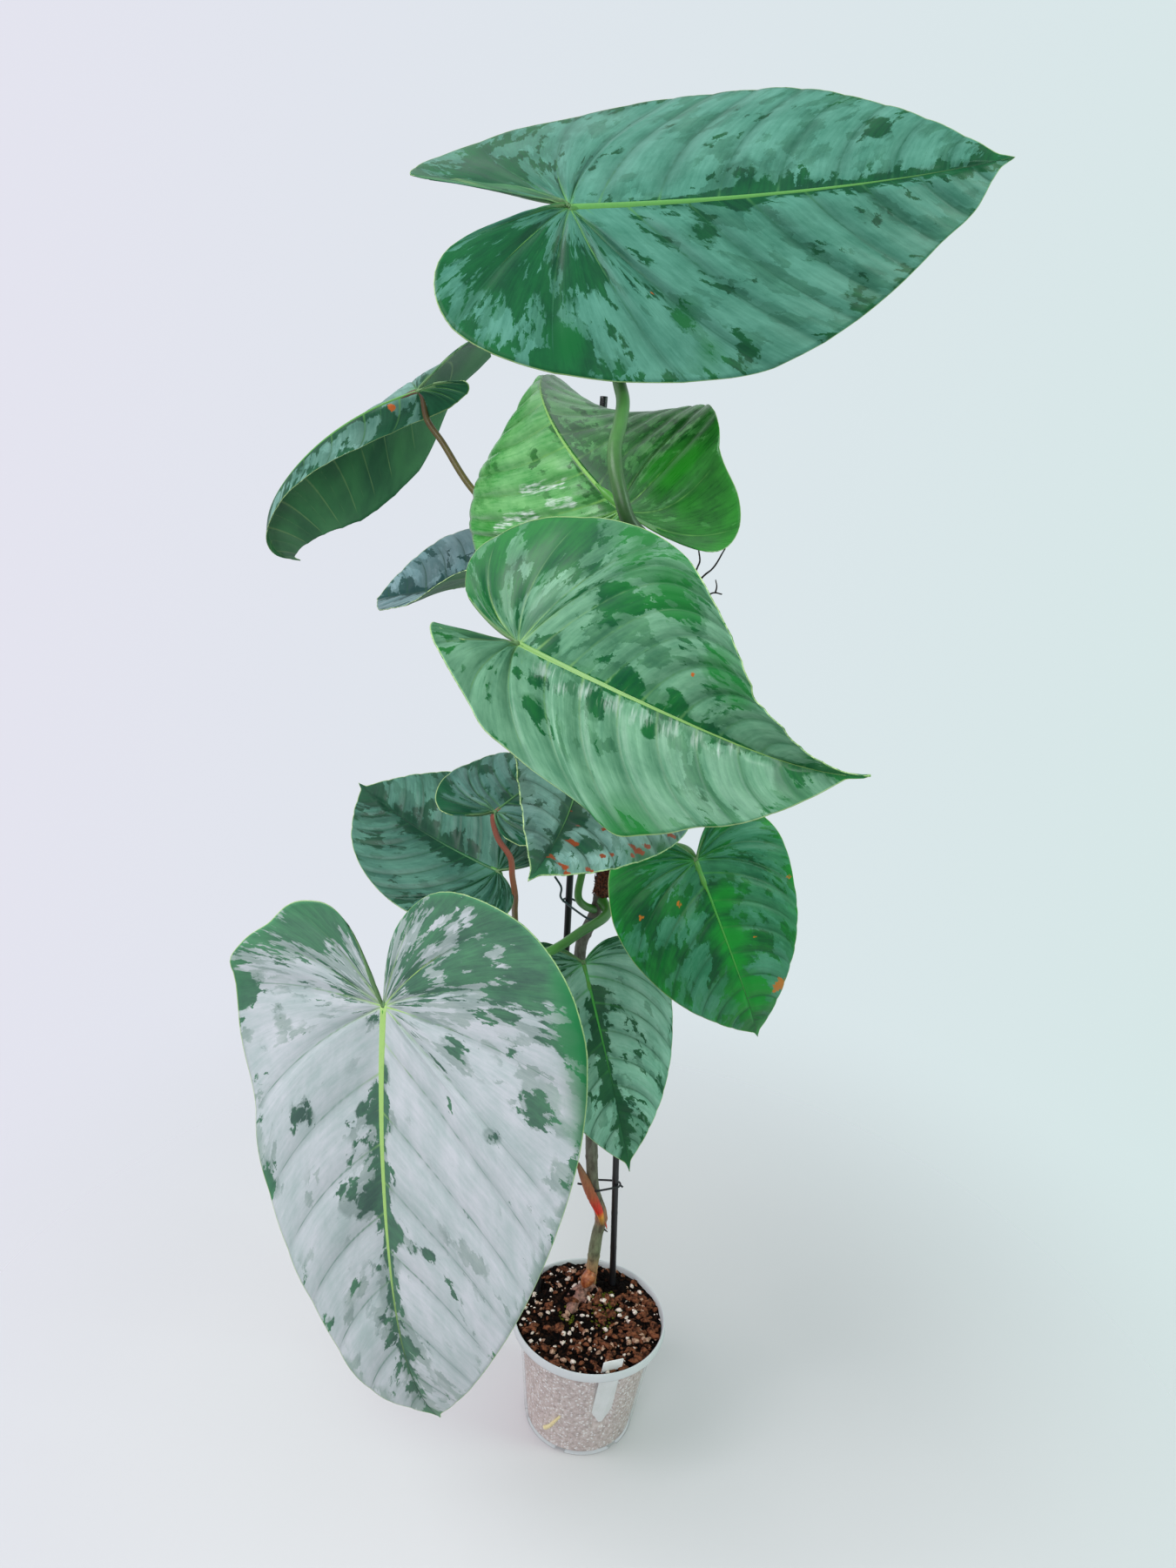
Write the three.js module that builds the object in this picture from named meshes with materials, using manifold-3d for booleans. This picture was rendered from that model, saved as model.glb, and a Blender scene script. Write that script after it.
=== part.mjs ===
// A potted philodendron sodiroi: eleven heart-shaped leaves on long stalks, a climbing stem tied
// to black stakes, and a milky pot full of bark and perlite.
// Millimetres, +Z up. The origin is the middle of the pot's base, where it stands.
import * as THREE from "three";
import { mergeVertices } from "three/addons/utils/BufferGeometryUtils.js";
import Module from "manifold-3d";

// Pot
const POT_HEIGHT = 118;
const POT_WALL = 1.6;
const BASE_RADIUS = 51;
const BODY_TOP_RADIUS = 63;
const LIP_RADIUS = 71;
const LIP_HEIGHT = 9;
const FLOOR_THICKNESS = 3;
const DRAIN_SLOTS = 6;
const DRAIN_WIDTH = 9;
const DRAIN_HEIGHT = 4;
const DRAIN_TURN = -48;
const DRAIN_DEPTH = 12;
const POT_SEGMENTS = 36;
const FOOT_EDGE = 1.5;
const NECK_HEIGHT = 3;
const POT_COLOUR = 0xe6e4e2;

// Potting mix
const SOIL_LEVEL = 110;
const SOIL_MOUND = 7;
const MOUND_AT = [-14, 30];
const MOUND_SPREAD = 34;
const SOIL_ROUGHNESS = 2.2;
const SOIL_RINGS = 4;
const SOIL_SECTORS = 20;
const PERLITE_COUNT = 26;
const PERLITE_SIZE = [2.2, 4.2];
const BARK_COUNT = 12;
const BARK_SIZE = [5, 10];
const PERLITE_FLATNESS = 0.8;
const BARK_FLATNESS = 0.4;
const GRAIN_LIFT = 0.2;
const GRAIN_TILT = 1.2;
const SHOULDER_DROP = 6;
const SOIL_SEED = 7;
const GRAIN_SEED = 23;
const MIX_COLOUR = 0x2e2420;

// Plant label
const LABEL_WIDTH = 19;
const LABEL_LENGTH = 86;
const LABEL_POINT = 14;
const LABEL_THICKNESS = 0.8;
const LABEL_TOP = 126;
const LABEL_TURN = -69;
const LABEL_FOOT_HALF = 1.5;
const LABEL_INSET = 2.2;
const LABEL_COLOUR = 0xf2f2f0;

// Stakes
const STAKE_RADIUS = 3;
const STAKE_SIDES = 10;
const STAKE_STEPS = 10;
const STAKE_COLOUR = 0x141416;
const TALL_STAKE = [
  [-47.5, 23, 84], [-49.5, 26, 112], [-52.8, 60, 452], [-55.5, 67, 526], [-64.3, 106, 916],
];
const SHORT_STAKE = [[25.7, 43, 58], [21, 43, 119], [-2, 43, 430]];

// Stem
const STEM_RADIUS = 5.5;
const STEM_TAPER = 0.8;
const STEM_SIDES = 8;
const STEM_STEPS = 40;
const STEM_COLOUR = 0x6c6a55;
const STEM_PATH = [
  [-4, 32, 84], [-1, 36, 108], [0, 38, 140], [1, 38, 174], [3, 38, 196], [-7, 38, 227],
  [-15, 38, 289], [-28, 39, 379], [-40, 40, 455], [-40, 40, 478], [-32, 40, 504], [-28, 40, 525],
  [-16, 34, 580], [-8.5, 26, 645], [-1.3, 14, 706], [1, 2, 757], [1.4, -6, 784],
];
const RING_STEP = 0.5;
const RING_HEIGHT = 3;
const RING_CHAMFER = 0.3;
const STEM_RING_HEIGHTS = [150, 194, 262, 330, 392, 438, 486, 520, 560, 600, 650, 704, 752];
const ROOT_CROWN = [[-2, 34, 116], [-8, 27, 117], [-16, 19, 113]];
const ROOT_CROWN_RADIUS = 7;
const ROOT_CROWN_TAPER = 0.45;
const ROOT_CROWN_SIDES = 8;
const ROOT_CROWN_STEPS = 5;
const AERIAL_ROOT_RADIUS = 1;
const AERIAL_ROOT_TAPER = 0.4;
const AERIAL_ROOT_SIDES = 5;
const AERIAL_ROOT_STEPS = 7;
const AERIAL_ROOTS = [
  [[1, -4, 776], [12, -1, 798], [16, 0, 809], [17, 0, 813], [15, 0, 822]],
  [[1, -2, 768], [12, 0, 790], [21.7, 0, 803.6], [27, 0, 809], [34, 0, 824]],
  [[1, 2, 754], [16, 2, 776], [29, 1, 791], [36, 0, 791]],
];

// Pieces on the stem
const SHEATH_PATH = [[-24, 34, 256], [-19, 32, 247], [-9, 30.5, 226], [0, 30.5, 208], [5, 31, 194]];
const SHEATH_RADIUS = 3.6;
const SHEATH_THIN_END = 0.35;
const SHEATH_SIDES = 8;
const SHEATH_STEPS = 10;
const SHEATH_COLOUR = 0xb4502e;
const FIBRE_BOTTOM = 526;
const FIBRE_TOP = 556;
const FIBRE_RADIUS = 10;
const FIBRE_WAIST = 3;
const FIBRE_SIDES = 9;
const FIBRE_STEPS = 6;
const FIBRE_TUFTS = 9;
const TUFT_START = 5;
const TUFT_REACH = 3;
const TUFT_RISE = [-6, 8];
const TUFT_RADIUS = [1.8, 0.6];
const FIBRE_SEED = 31;
const FIBRE_COLOUR = 0x5e3a24;

// Ties
const TIE_RADIUS = 1;
const TIE_SLACK = 0.7;
const WIRE_SIDES = 6;
const TAIL_STEPS = 6;
const ARC_STEPS = 6;
const LOWER_TIE_COLOUR = 0x17181a;
const UPPER_TIE_COLOUR = 0x1f3a34;
const LOWER_TIE_HEIGHT = 230;
const UPPER_TIE_HEIGHT = 503;
const LOWER_TIE_TAILS = [
  [[-15.5, 38, 230], [-22, 36, 232]],
  [[16.5, 43, 230], [20, 42, 228]],
];
const UPPER_TIE_TAILS = [
  [[-59, 62, 503], [-62, 57, 510], [-62, 52, 521], [-68, 50, 531]],
  [[-25, 44, 503], [-20, 46, 510], [-20, 47, 517], [-24, 50, 521]],
];

// Clearances and blade
const GAP = 0.3;
const BLADE_THICKNESS = 0.8;
const BLADE_RIBS = 14;
const BLADE_STEPS = 3;
const BEND_STEPS = 24;
const INNER_SHARE = 0.2;
const OUTER_SHARE = 0.5;
const TIP_START = 0.55;
const RIB_SWEEP = 0.6;
const RIB_BOW = 0.1;
const STALK_SIDES = 6;
const STALK_SWELL = 1.15;
const STALK_TAPER = 0.45;
const STALK_RUN = 12;
const LEAF_COLOUR = 0x6f9a7c;

// Each leaf: where its blade joins the stalk, the size of the flat blade in millimetres, with its
// left and right halves as seen from the upper face with the tip up, how it bends in degrees, and
// the stalk's route from the stem.
const LEAVES = [
  {
    name: "leaf_top", base: [-94, -40, 1031], heading: -74, pitch: 8, roll: 51,
    length: 315, half: [120, 115], lobe: [95, 90], widest: 60, full: [1, 0.9], sinus: [42, 6],
    bend: 0, tipBend: -5, lobeBend: 5, fold: [-15, -15], curl: [-40, -25], sway: -10, twist: 25,
    wave: [3, 3], stalk: 5,
    route: [[1, -4, 776], [-3, -30, 800], [-9, -58, 818], [-18, -80, 832], [-29, -92, 840],
      [-38, -96, 849], [-43.5, -97, 861], [-49.5, -91, 879], [-51.5, -80, 892], [-49.6, -66, 905],
      [-49, -52, 919], [-53, -38, 931], [-62, -14, 962], [-76, 2, 1000], [-86, -12, 1022]],
  },
  {
    name: "leaf_upper_left", base: [-207.7, 95, 906.8], heading: 84, pitch: -21, roll: -54,
    length: 258, half: [21, 132], lobe: [39, 20], widest: -18, full: [1, 0.93], sinus: [3, 18],
    bend: 57, tipBend: 142, lobeBend: -160, fold: [-47, -27], curl: [-42, -105], sway: -23,
    twist: 93, wave: [2, 3], stalk: 3.2,
    route: [[-1.3, 14, 704], [-28, 48, 728], [-70, 70, 766], [-120, 82, 806], [-161.4, 88, 839.7],
      [-186.8, 97, 871], [-199.3, 98, 886.2]],
  },
  {
    name: "leaf_upper_middle", base: [-42.6, -65, 851.8], heading: 64, pitch: 33, roll: -78,
    length: 234, half: [114, 127], lobe: [55, 62], widest: 90, full: [1.02, 1.53], sinus: [10, 21],
    bend: 84, tipBend: 41, lobeBend: 9, fold: [-11, -81], curl: [-16, 120], sway: 21, twist: -7,
    wave: [3, 3], stalk: 4,
    route: [[0.5, 5, 744], [-10, -6, 770], [-26, -30, 806], [-38, -50, 836]],
  },
  {
    name: "leaf_centre", base: [-99, -140, 773], heading: -116, pitch: -13, roll: 33,
    length: 228, half: [98, 77], lobe: [65, 42], widest: 102, full: [0.82, 0.64], sinus: [8, 42],
    bend: -10, tipBend: -55, lobeBend: -20, fold: [30, 21], curl: [11, 8], sway: 2, twist: 83,
    wave: [3, 4], stalk: 4,
    route: [[-8.5, 26, 652], [-24, -2, 686], [-44, -46, 716], [-68, -92, 738], [-88, -124, 760]],
  },
  {
    name: "leaf_front", base: [-172, -155, 516], heading: 185, pitch: -82, roll: 27,
    length: 365, half: [160, 105], lobe: [105, 70], widest: -10, full: [0.9, 0.7], sinus: [3, 18],
    bend: 10, tipBend: 70, lobeBend: -25, fold: [10, 20], curl: [-20, -30], sway: -10, twist: -15,
    wave: [4, 3], stalk: 3.8,
    route: [[-28, 40, 520], [-22, 22, 516], [-43, -20, 517], [-63, -50, 515], [-108, -95, 514],
      [-150, -136, 516]],
  },
  {
    name: "leaf_left", base: [-113, 0, 554], heading: 57, pitch: 3, roll: -44,
    length: 180, half: [70, 70], lobe: [35, 40], widest: 30, full: [1, 0.9], sinus: [8, 12],
    bend: 10, tipBend: -5, lobeBend: -10, fold: [20, 10], curl: [-5, -15], sway: 15, twist: 0,
    wave: [2, 3], stalk: 3,
    route: [[-39, 40, 442], [-60, 44, 446], [-84, 42, 464], [-104, 30, 494], [-112, 12, 530]],
  },
  {
    name: "leaf_small", base: [-114, -50, 624], heading: -24, pitch: 8, roll: 14,
    length: 128, half: [50, 55], lobe: [30, 25], widest: 20, full: [1, 1], sinus: [12, 12],
    bend: 15, tipBend: 10, lobeBend: -5, fold: [5, 5], curl: [-25, -25], sway: 0, twist: 5,
    wave: [1.5, 3], stalk: 2.8,
    route: [[-36, 40, 424], [-60, 38, 430], [-84, 28, 458], [-94, 8, 496], [-96, -12, 526],
      [-96, -24, 546], [-99, -30, 565], [-101, -35, 582], [-111, -42, 600], [-115, -48, 616]],
  },
  {
    name: "leaf_behind_centre", base: [-56, -54, 680], heading: 183, pitch: -6, roll: -35,
    length: 195, half: [85, 78], lobe: [43, 43], widest: 24, full: [1, 1], sinus: [8, 8],
    bend: 6, tipBend: 2, lobeBend: -10, fold: [23, 17], curl: [4, -8], sway: 16, twist: 0,
    wave: [2, 3], stalk: 3,
    route: [[-31, 40, 509], [-41, 25, 519], [-47, 12, 533], [-46, 7, 554], [-40, 6, 590],
      [-38, -4, 624], [-50, -34, 660]],
  },
  {
    name: "leaf_right", base: [38, -45, 599], heading: 240, pitch: -59, roll: 39,
    length: 180, half: [75, 75], lobe: [30, 30], widest: 25, full: [0.9, 0.8], sinus: [14, 10],
    bend: 45, tipBend: 5, lobeBend: -10, fold: [0, -15], curl: [-30, 0], sway: -15, twist: 5,
    wave: [2.5, 3], stalk: 3.2,
    route: [[-20, 37, 562], [-4, 24, 574], [16, 0, 590], [32, -28, 600]],
  },
  {
    name: "leaf_lower", base: [-37, 5, 476], heading: 213, pitch: -52, roll: 15,
    length: 175, half: [66, 68], lobe: [16, 25], widest: 20, full: [0.9, 0.9], sinus: [10, 20],
    bend: 30, tipBend: 10, lobeBend: -10, fold: [10, -5], curl: [-15, -25], sway: -5, twist: 0,
    wave: [2, 3], stalk: 3,
    route: [[-31, 39, 400], [-33, 26, 412], [-36, 20, 436], [-37, 14, 462]],
  },
  {
    name: "leaf_behind_left", base: [-118, 110, 771.6], heading: 49, pitch: -19, roll: -22,
    length: 194, half: [76, 76], lobe: [42, 42], widest: 21, full: [1, 1.1], sinus: [8, 8],
    bend: -5, tipBend: 10, lobeBend: -10, fold: [25, 20], curl: [-10, -20], sway: 0, twist: -25,
    wave: [2, 3], stalk: 3,
    route: [[-11, 30, 622], [-30, 62, 642], [-52, 98, 684], [-92, 106, 738]],
  },
];

const wasm = await Module();
wasm.setup();

// A closed geometry, whose shared corners are merged, as a solid that can be joined and cut.
function solidOf(geometry) {
  const bare = geometry.clone();
  bare.deleteAttribute("normal");
  bare.deleteAttribute("uv");
  const merged = mergeVertices(bare, 1e-3);
  return new wasm.Manifold(new wasm.Mesh({
    numProp: 3,
    vertProperties: merged.attributes.position.array,
    triVerts: new Uint32Array(merged.index.array),
  }));
}

// The geometry of a solid, after joining and cutting.
function geometryOf(solid) {
  const mesh = solid.getMesh();
  const geometry = new THREE.BufferGeometry();
  geometry.setAttribute("position", new THREE.BufferAttribute(mesh.vertProperties, mesh.numProp));
  geometry.setIndex(new THREE.BufferAttribute(mesh.triVerts, 1));
  geometry.computeVertexNormals();
  return geometry;
}

// Joins solids into one.
function joined(solids) {
  return solids.reduce((whole, solid) => whole.add(solid));
}

// The largest body of a solid, without the loose scraps that a cut leaves.
function largestBody(solid) {
  const bodies = solid.decompose();
  return bodies.reduce((best, body) => (body.volume() > best.volume() ? body : best));
}

// A repeatable draw between 0 and 1 for each seed.
function seededDraw(seed) {
  let state = seed >>> 0;
  return () => {
    state = (Math.imul(state, 1664525) + 1013904223) >>> 0;
    return state / 4294967296;
  };
}

// A smooth curve through points given as [x, y, z].
function curveThrough(points, closed = false) {
  const corners = points.map((p) => new THREE.Vector3(...p));
  return new THREE.CatmullRomCurve3(corners, closed, "centripetal");
}

// A round tube along points, with its radius as a function of the share of its length.
function tubeSolid(points, radiusAt, sides, steps) {
  const curve = curveThrough(points);
  const frames = curve.computeFrenetFrames(steps, false);
  const positions = [];
  for (let i = 0; i <= steps; i++) {
    const centre = curve.getPointAt(i / steps);
    const radius = radiusAt(i / steps);
    for (let k = 0; k < sides; k++) {
      const angle = (2 * Math.PI * k) / sides;
      const corner = centre.clone()
        .addScaledVector(frames.normals[i], radius * Math.cos(angle))
        .addScaledVector(frames.binormals[i], radius * Math.sin(angle));
      positions.push(corner.x, corner.y, corner.z);
    }
  }
  const faces = [];
  for (let i = 0; i < steps; i++) {
    for (let k = 0; k < sides; k++) {
      const a = i * sides + k;
      const b = i * sides + ((k + 1) % sides);
      faces.push(a, b, a + sides, b, b + sides, a + sides);
    }
  }
  const last = steps * sides;
  for (let k = 1; k < sides - 1; k++) {
    faces.push(0, k + 1, k, last, last + k, last + k + 1);
  }
  const geometry = new THREE.BufferGeometry();
  geometry.setAttribute("position", new THREE.Float32BufferAttribute(positions, 3));
  geometry.setIndex(faces);
  return solidOf(geometry);
}

// A solid turned about the vertical axis from [radius, height] points.
function turnedSolid(profile, segments) {
  const points = profile.map(([radius, height]) => new THREE.Vector2(radius, height));
  const geometry = new THREE.LatheGeometry(points, segments);
  geometry.rotateX(Math.PI / 2);
  return solidOf(geometry);
}

// A named mesh with its own plain material.
function namedMesh(name, solid, colour, roughness, extra = {}) {
  const material = new THREE.MeshStandardMaterial({ color: colour, roughness, ...extra });
  const mesh = new THREE.Mesh(geometryOf(solid), material);
  mesh.name = name;
  return mesh;
}

// A path whose two ends reach a little farther, for the hole that it stands in.
function stretched(path, extra) {
  const beyond = (end, next) => {
    const away = new THREE.Vector3(...end).sub(new THREE.Vector3(...next)).setLength(extra);
    return new THREE.Vector3(...end).add(away).toArray();
  };
  if (extra === 0) return path;
  const first = beyond(path[0], path[1]);
  const last = beyond(path[path.length - 1], path[path.length - 2]);
  return [first, ...path.slice(1, -1), last];
}

// A stake, wider by extra for the hole in the mix.
function stakeSolid(path, extra) {
  return tubeSolid(stretched(path, extra), () => STAKE_RADIUS + extra, STAKE_SIDES, STAKE_STEPS);
}

// The stem with its leaf-scar rings and its woody crown in the soil, wider by extra.
function stemBody(extra) {
  const curve = curveThrough(STEM_PATH);
  const path = stretched(STEM_PATH, extra);
  const stemAt = (t) => STEM_RADIUS + extra - STEM_TAPER * t;
  const parts = [tubeSolid(path, stemAt, STEM_SIDES, STEM_STEPS)];
  for (const height of STEM_RING_HEIGHTS) {
    const at = pointAtHeight(curve, height);
    const wide = STEM_RADIUS + RING_STEP + extra;
    const high = RING_HEIGHT + 2 * extra;
    const ring = new THREE.CylinderGeometry(wide, wide - RING_CHAMFER, high, STEM_SIDES);
    ring.rotateX(Math.PI / 2);
    ring.translate(at.x, at.y, at.z);
    parts.push(solidOf(ring));
  }
  const crown = stretched(ROOT_CROWN, extra);
  const crownAt = (t) => extra + ROOT_CROWN_RADIUS * (1 - ROOT_CROWN_TAPER * t);
  parts.push(tubeSolid(crown, crownAt, ROOT_CROWN_SIDES, ROOT_CROWN_STEPS));
  return joined(parts);
}

// The stem with its aerial roots.
function stemSolid() {
  const rootAt = (t) => AERIAL_ROOT_RADIUS * (1 - AERIAL_ROOT_TAPER * t);
  const rootSolid = (root) => tubeSolid(root, rootAt, AERIAL_ROOT_SIDES, AERIAL_ROOT_STEPS);
  const roots = AERIAL_ROOTS.map(rootSolid);
  return joined([stemBody(0), ...roots]);
}

// The point of a rising curve at a height.
function pointAtHeight(curve, height) {
  let low = 0;
  let high = 1;
  for (let i = 0; i < 40; i++) {
    const middle = (low + high) / 2;
    if (curve.getPointAt(middle).z < height) low = middle;
    else high = middle;
  }
  return curve.getPointAt(low);
}

// The pot: a thin tapered wall with a rolled lip, a flat floor and slots through its foot.
function potSolid() {
  const lipBottom = POT_HEIGHT - LIP_HEIGHT;
  const profile = [
    [0, 0], [BASE_RADIUS - FOOT_EDGE, 0], [BASE_RADIUS, FOOT_EDGE],
    [BODY_TOP_RADIUS, lipBottom - NECK_HEIGHT], [BODY_TOP_RADIUS + NECK_HEIGHT, lipBottom],
    [LIP_RADIUS - 0.6, lipBottom], [LIP_RADIUS, lipBottom + 1.5],
    [LIP_RADIUS - 1, POT_HEIGHT - 0.8], [LIP_RADIUS - 2, POT_HEIGHT],
    [BODY_TOP_RADIUS + 1, POT_HEIGHT - 0.6], [BODY_TOP_RADIUS - POT_WALL + 0.8, POT_HEIGHT - 3],
    [BODY_TOP_RADIUS - POT_WALL, lipBottom - NECK_HEIGHT],
    [BASE_RADIUS - POT_WALL, FLOOR_THICKNESS + 1],
    [BASE_RADIUS - POT_WALL - 1, FLOOR_THICKNESS], [0, FLOOR_THICKNESS],
  ];
  let pot = turnedSolid(profile, POT_SEGMENTS);
  for (let k = 0; k < DRAIN_SLOTS; k++) {
    const slot = new THREE.BoxGeometry(DRAIN_DEPTH, DRAIN_WIDTH, DRAIN_HEIGHT * 2);
    slot.translate(BASE_RADIUS, 0, 0);
    slot.rotateZ(THREE.MathUtils.degToRad(DRAIN_TURN + (360 * k) / DRAIN_SLOTS));
    pot = pot.subtract(solidOf(slot));
  }
  return pot;
}

// Height of the potting mix: level with a low mound beside the stem.
function soilHeight(x, y) {
  const away = Math.hypot(x - MOUND_AT[0], y - MOUND_AT[1]) / MOUND_SPREAD;
  return SOIL_LEVEL + SOIL_MOUND * Math.exp(-away * away);
}

// The inner radius of the pot's wall at a height, less the gap.
function fillRadius(z) {
  const low = FLOOR_THICKNESS + 1;
  const share = (z - low) / (POT_HEIGHT - LIP_HEIGHT - NECK_HEIGHT - low);
  return BASE_RADIUS + (BODY_TOP_RADIUS - BASE_RADIUS) * Math.min(1, share) - POT_WALL - 2 * GAP;
}

// The mix as a plug that fills the pot, with an uneven top.
function soilPlug() {
  const draw = seededDraw(SOIL_SEED);
  const shoulder = SOIL_LEVEL - SHOULDER_DROP;
  const positions = [0, 0, FLOOR_THICKNESS + GAP];
  const faces = [];
  const ringStart = [];
  const addRing = (radius, height, uneven) => {
    ringStart.push(positions.length / 3);
    for (let k = 0; k < SOIL_SECTORS; k++) {
      const angle = (2 * Math.PI * k) / SOIL_SECTORS;
      const x = radius * Math.cos(angle);
      const y = radius * Math.sin(angle);
      const bump = uneven ? (draw() - 0.5) * 2 * SOIL_ROUGHNESS : 0;
      positions.push(x, y, height === null ? soilHeight(x, y) + bump : height);
    }
  };
  const footHeight = FLOOR_THICKNESS + GAP;
  addRing(fillRadius(footHeight) - 1, footHeight, false);
  addRing(fillRadius(footHeight + 3), footHeight + 3, false);
  addRing(fillRadius(shoulder), shoulder, false);
  for (let r = 0; r < SOIL_RINGS; r++) {
    const radius = fillRadius(shoulder) * (1 - r / SOIL_RINGS) - (r === 0 ? 2 * GAP : 0);
    addRing(radius, null, true);
  }
  const top = positions.length / 3;
  positions.push(0, 0, soilHeight(0, 0));
  const wrap = (start, k) => start + (k % SOIL_SECTORS);
  for (let k = 0; k < SOIL_SECTORS; k++) {
    faces.push(0, wrap(ringStart[0], k + 1), wrap(ringStart[0], k));
    for (let r = 0; r + 1 < ringStart.length; r++) {
      const a = wrap(ringStart[r], k);
      const b = wrap(ringStart[r], k + 1);
      const c = wrap(ringStart[r + 1], k);
      const d = wrap(ringStart[r + 1], k + 1);
      faces.push(a, b, c, b, d, c);
    }
    const lastRing = ringStart[ringStart.length - 1];
    faces.push(wrap(lastRing, k), wrap(lastRing, k + 1), top);
  }
  const geometry = new THREE.BufferGeometry();
  geometry.setAttribute("position", new THREE.Float32BufferAttribute(positions, 3));
  geometry.setIndex(faces);
  return solidOf(geometry);
}

// One grain of perlite or bark, half sunk in the top of the mix.
function grainSolid(draw, sizes, flatness) {
  const size = sizes[0] + (sizes[1] - sizes[0]) * draw();
  const radius = (fillRadius(SOIL_LEVEL - SHOULDER_DROP) - size - 2) * Math.sqrt(draw());
  const angle = 2 * Math.PI * draw();
  const x = radius * Math.cos(angle);
  const y = radius * Math.sin(angle);
  const grain = new THREE.OctahedronGeometry(size, 0);
  grain.scale(1, 0.6 + 0.4 * draw(), flatness);
  grain.rotateX((draw() - 0.5) * GRAIN_TILT);
  grain.rotateZ(Math.PI * draw());
  grain.translate(x, y, soilHeight(x, y) + GRAIN_LIFT * size);
  return solidOf(grain);
}

// The potting mix with its grains, cut clear of everything that stands in it.
function soilSolid(standing) {
  const draw = seededDraw(GRAIN_SEED);
  const parts = [soilPlug()];
  const addGrains = (count, sizes, flatness) => {
    for (let i = 0; i < count; i++) parts.push(grainSolid(draw, sizes, flatness));
  };
  addGrains(PERLITE_COUNT, PERLITE_SIZE, PERLITE_FLATNESS);
  addGrains(BARK_COUNT, BARK_SIZE, BARK_FLATNESS);
  let soil = joined(parts);
  for (const piece of standing) soil = soil.subtract(piece);
  return largestBody(soil);
}

// The plant label: a flat strip with a square head and a pointed foot, leaning with the pot wall.
function labelSolid(extra) {
  const half = LABEL_WIDTH / 2 + extra;
  const shape = new THREE.Shape();
  shape.moveTo(-half, extra);
  shape.lineTo(-half, -LABEL_LENGTH + LABEL_POINT);
  shape.lineTo(-LABEL_FOOT_HALF - extra, -LABEL_LENGTH - extra);
  shape.lineTo(LABEL_FOOT_HALF + extra, -LABEL_LENGTH - extra);
  shape.lineTo(half, -LABEL_LENGTH + LABEL_POINT);
  shape.lineTo(half, extra);
  const depth = LABEL_THICKNESS + 2 * extra;
  const strip = new THREE.ExtrudeGeometry(shape, { depth, bevelEnabled: false });
  strip.translate(0, 0, -depth / 2);
  strip.rotateX(Math.PI / 2);
  const lean = Math.atan((BODY_TOP_RADIUS - BASE_RADIUS) / (POT_HEIGHT - LIP_HEIGHT));
  strip.rotateX(lean);
  const reach = fillRadius(LABEL_TOP) - LABEL_INSET + (LABEL_TOP - SOIL_LEVEL) * Math.tan(lean);
  strip.translate(0, -reach, LABEL_TOP);
  strip.rotateZ(THREE.MathUtils.degToRad(90 + LABEL_TURN));
  return solidOf(strip);
}

// The red and orange sheath that lies across the front of the stem, cut to its surface.
function sheathSolid(cutters) {
  const swell = (t) => SHEATH_THIN_END + (1 - SHEATH_THIN_END) * Math.sin(Math.PI * t);
  let sheath = tubeSolid(SHEATH_PATH, (t) => SHEATH_RADIUS * swell(t), SHEATH_SIDES, SHEATH_STEPS);
  for (const piece of cutters) sheath = sheath.subtract(piece);
  return largestBody(sheath);
}

// The clump of brown fibres round the stem: a rough sleeve with tufts.
function fibreSolid(cutters) {
  const curve = curveThrough(STEM_PATH);
  const low = pointAtHeight(curve, FIBRE_BOTTOM);
  const high = pointAtHeight(curve, FIBRE_TOP);
  const path = [low.toArray(), low.clone().lerp(high, 0.5).toArray(), high.toArray()];
  const sleeveAt = (t) => FIBRE_RADIUS - FIBRE_WAIST * Math.abs(2 * t - 1);
  const parts = [tubeSolid(path, sleeveAt, FIBRE_SIDES, FIBRE_STEPS)];
  const draw = seededDraw(FIBRE_SEED);
  const tuftAt = (t) => TUFT_RADIUS[0] + (TUFT_RADIUS[1] - TUFT_RADIUS[0]) * t;
  for (let i = 0; i < FIBRE_TUFTS; i++) {
    const angle = (2 * Math.PI * i) / FIBRE_TUFTS;
    const out = [Math.cos(angle), Math.sin(angle)];
    const from = low.clone().lerp(high, 0.2 + 0.5 * draw());
    const rise = TUFT_RISE[0] + (TUFT_RISE[1] - TUFT_RISE[0]) * draw();
    const reach = [TUFT_START, FIBRE_RADIUS + 1, FIBRE_RADIUS + TUFT_REACH];
    const tuftPoint = (r, k) => [from.x + r * out[0], from.y + r * out[1], from.z + (rise * k) / 2];
    parts.push(tubeSolid(reach.map(tuftPoint), tuftAt, 4, 2));
  }
  let clump = joined(parts);
  for (const piece of cutters) clump = clump.subtract(piece);
  return largestBody(clump);
}

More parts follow.
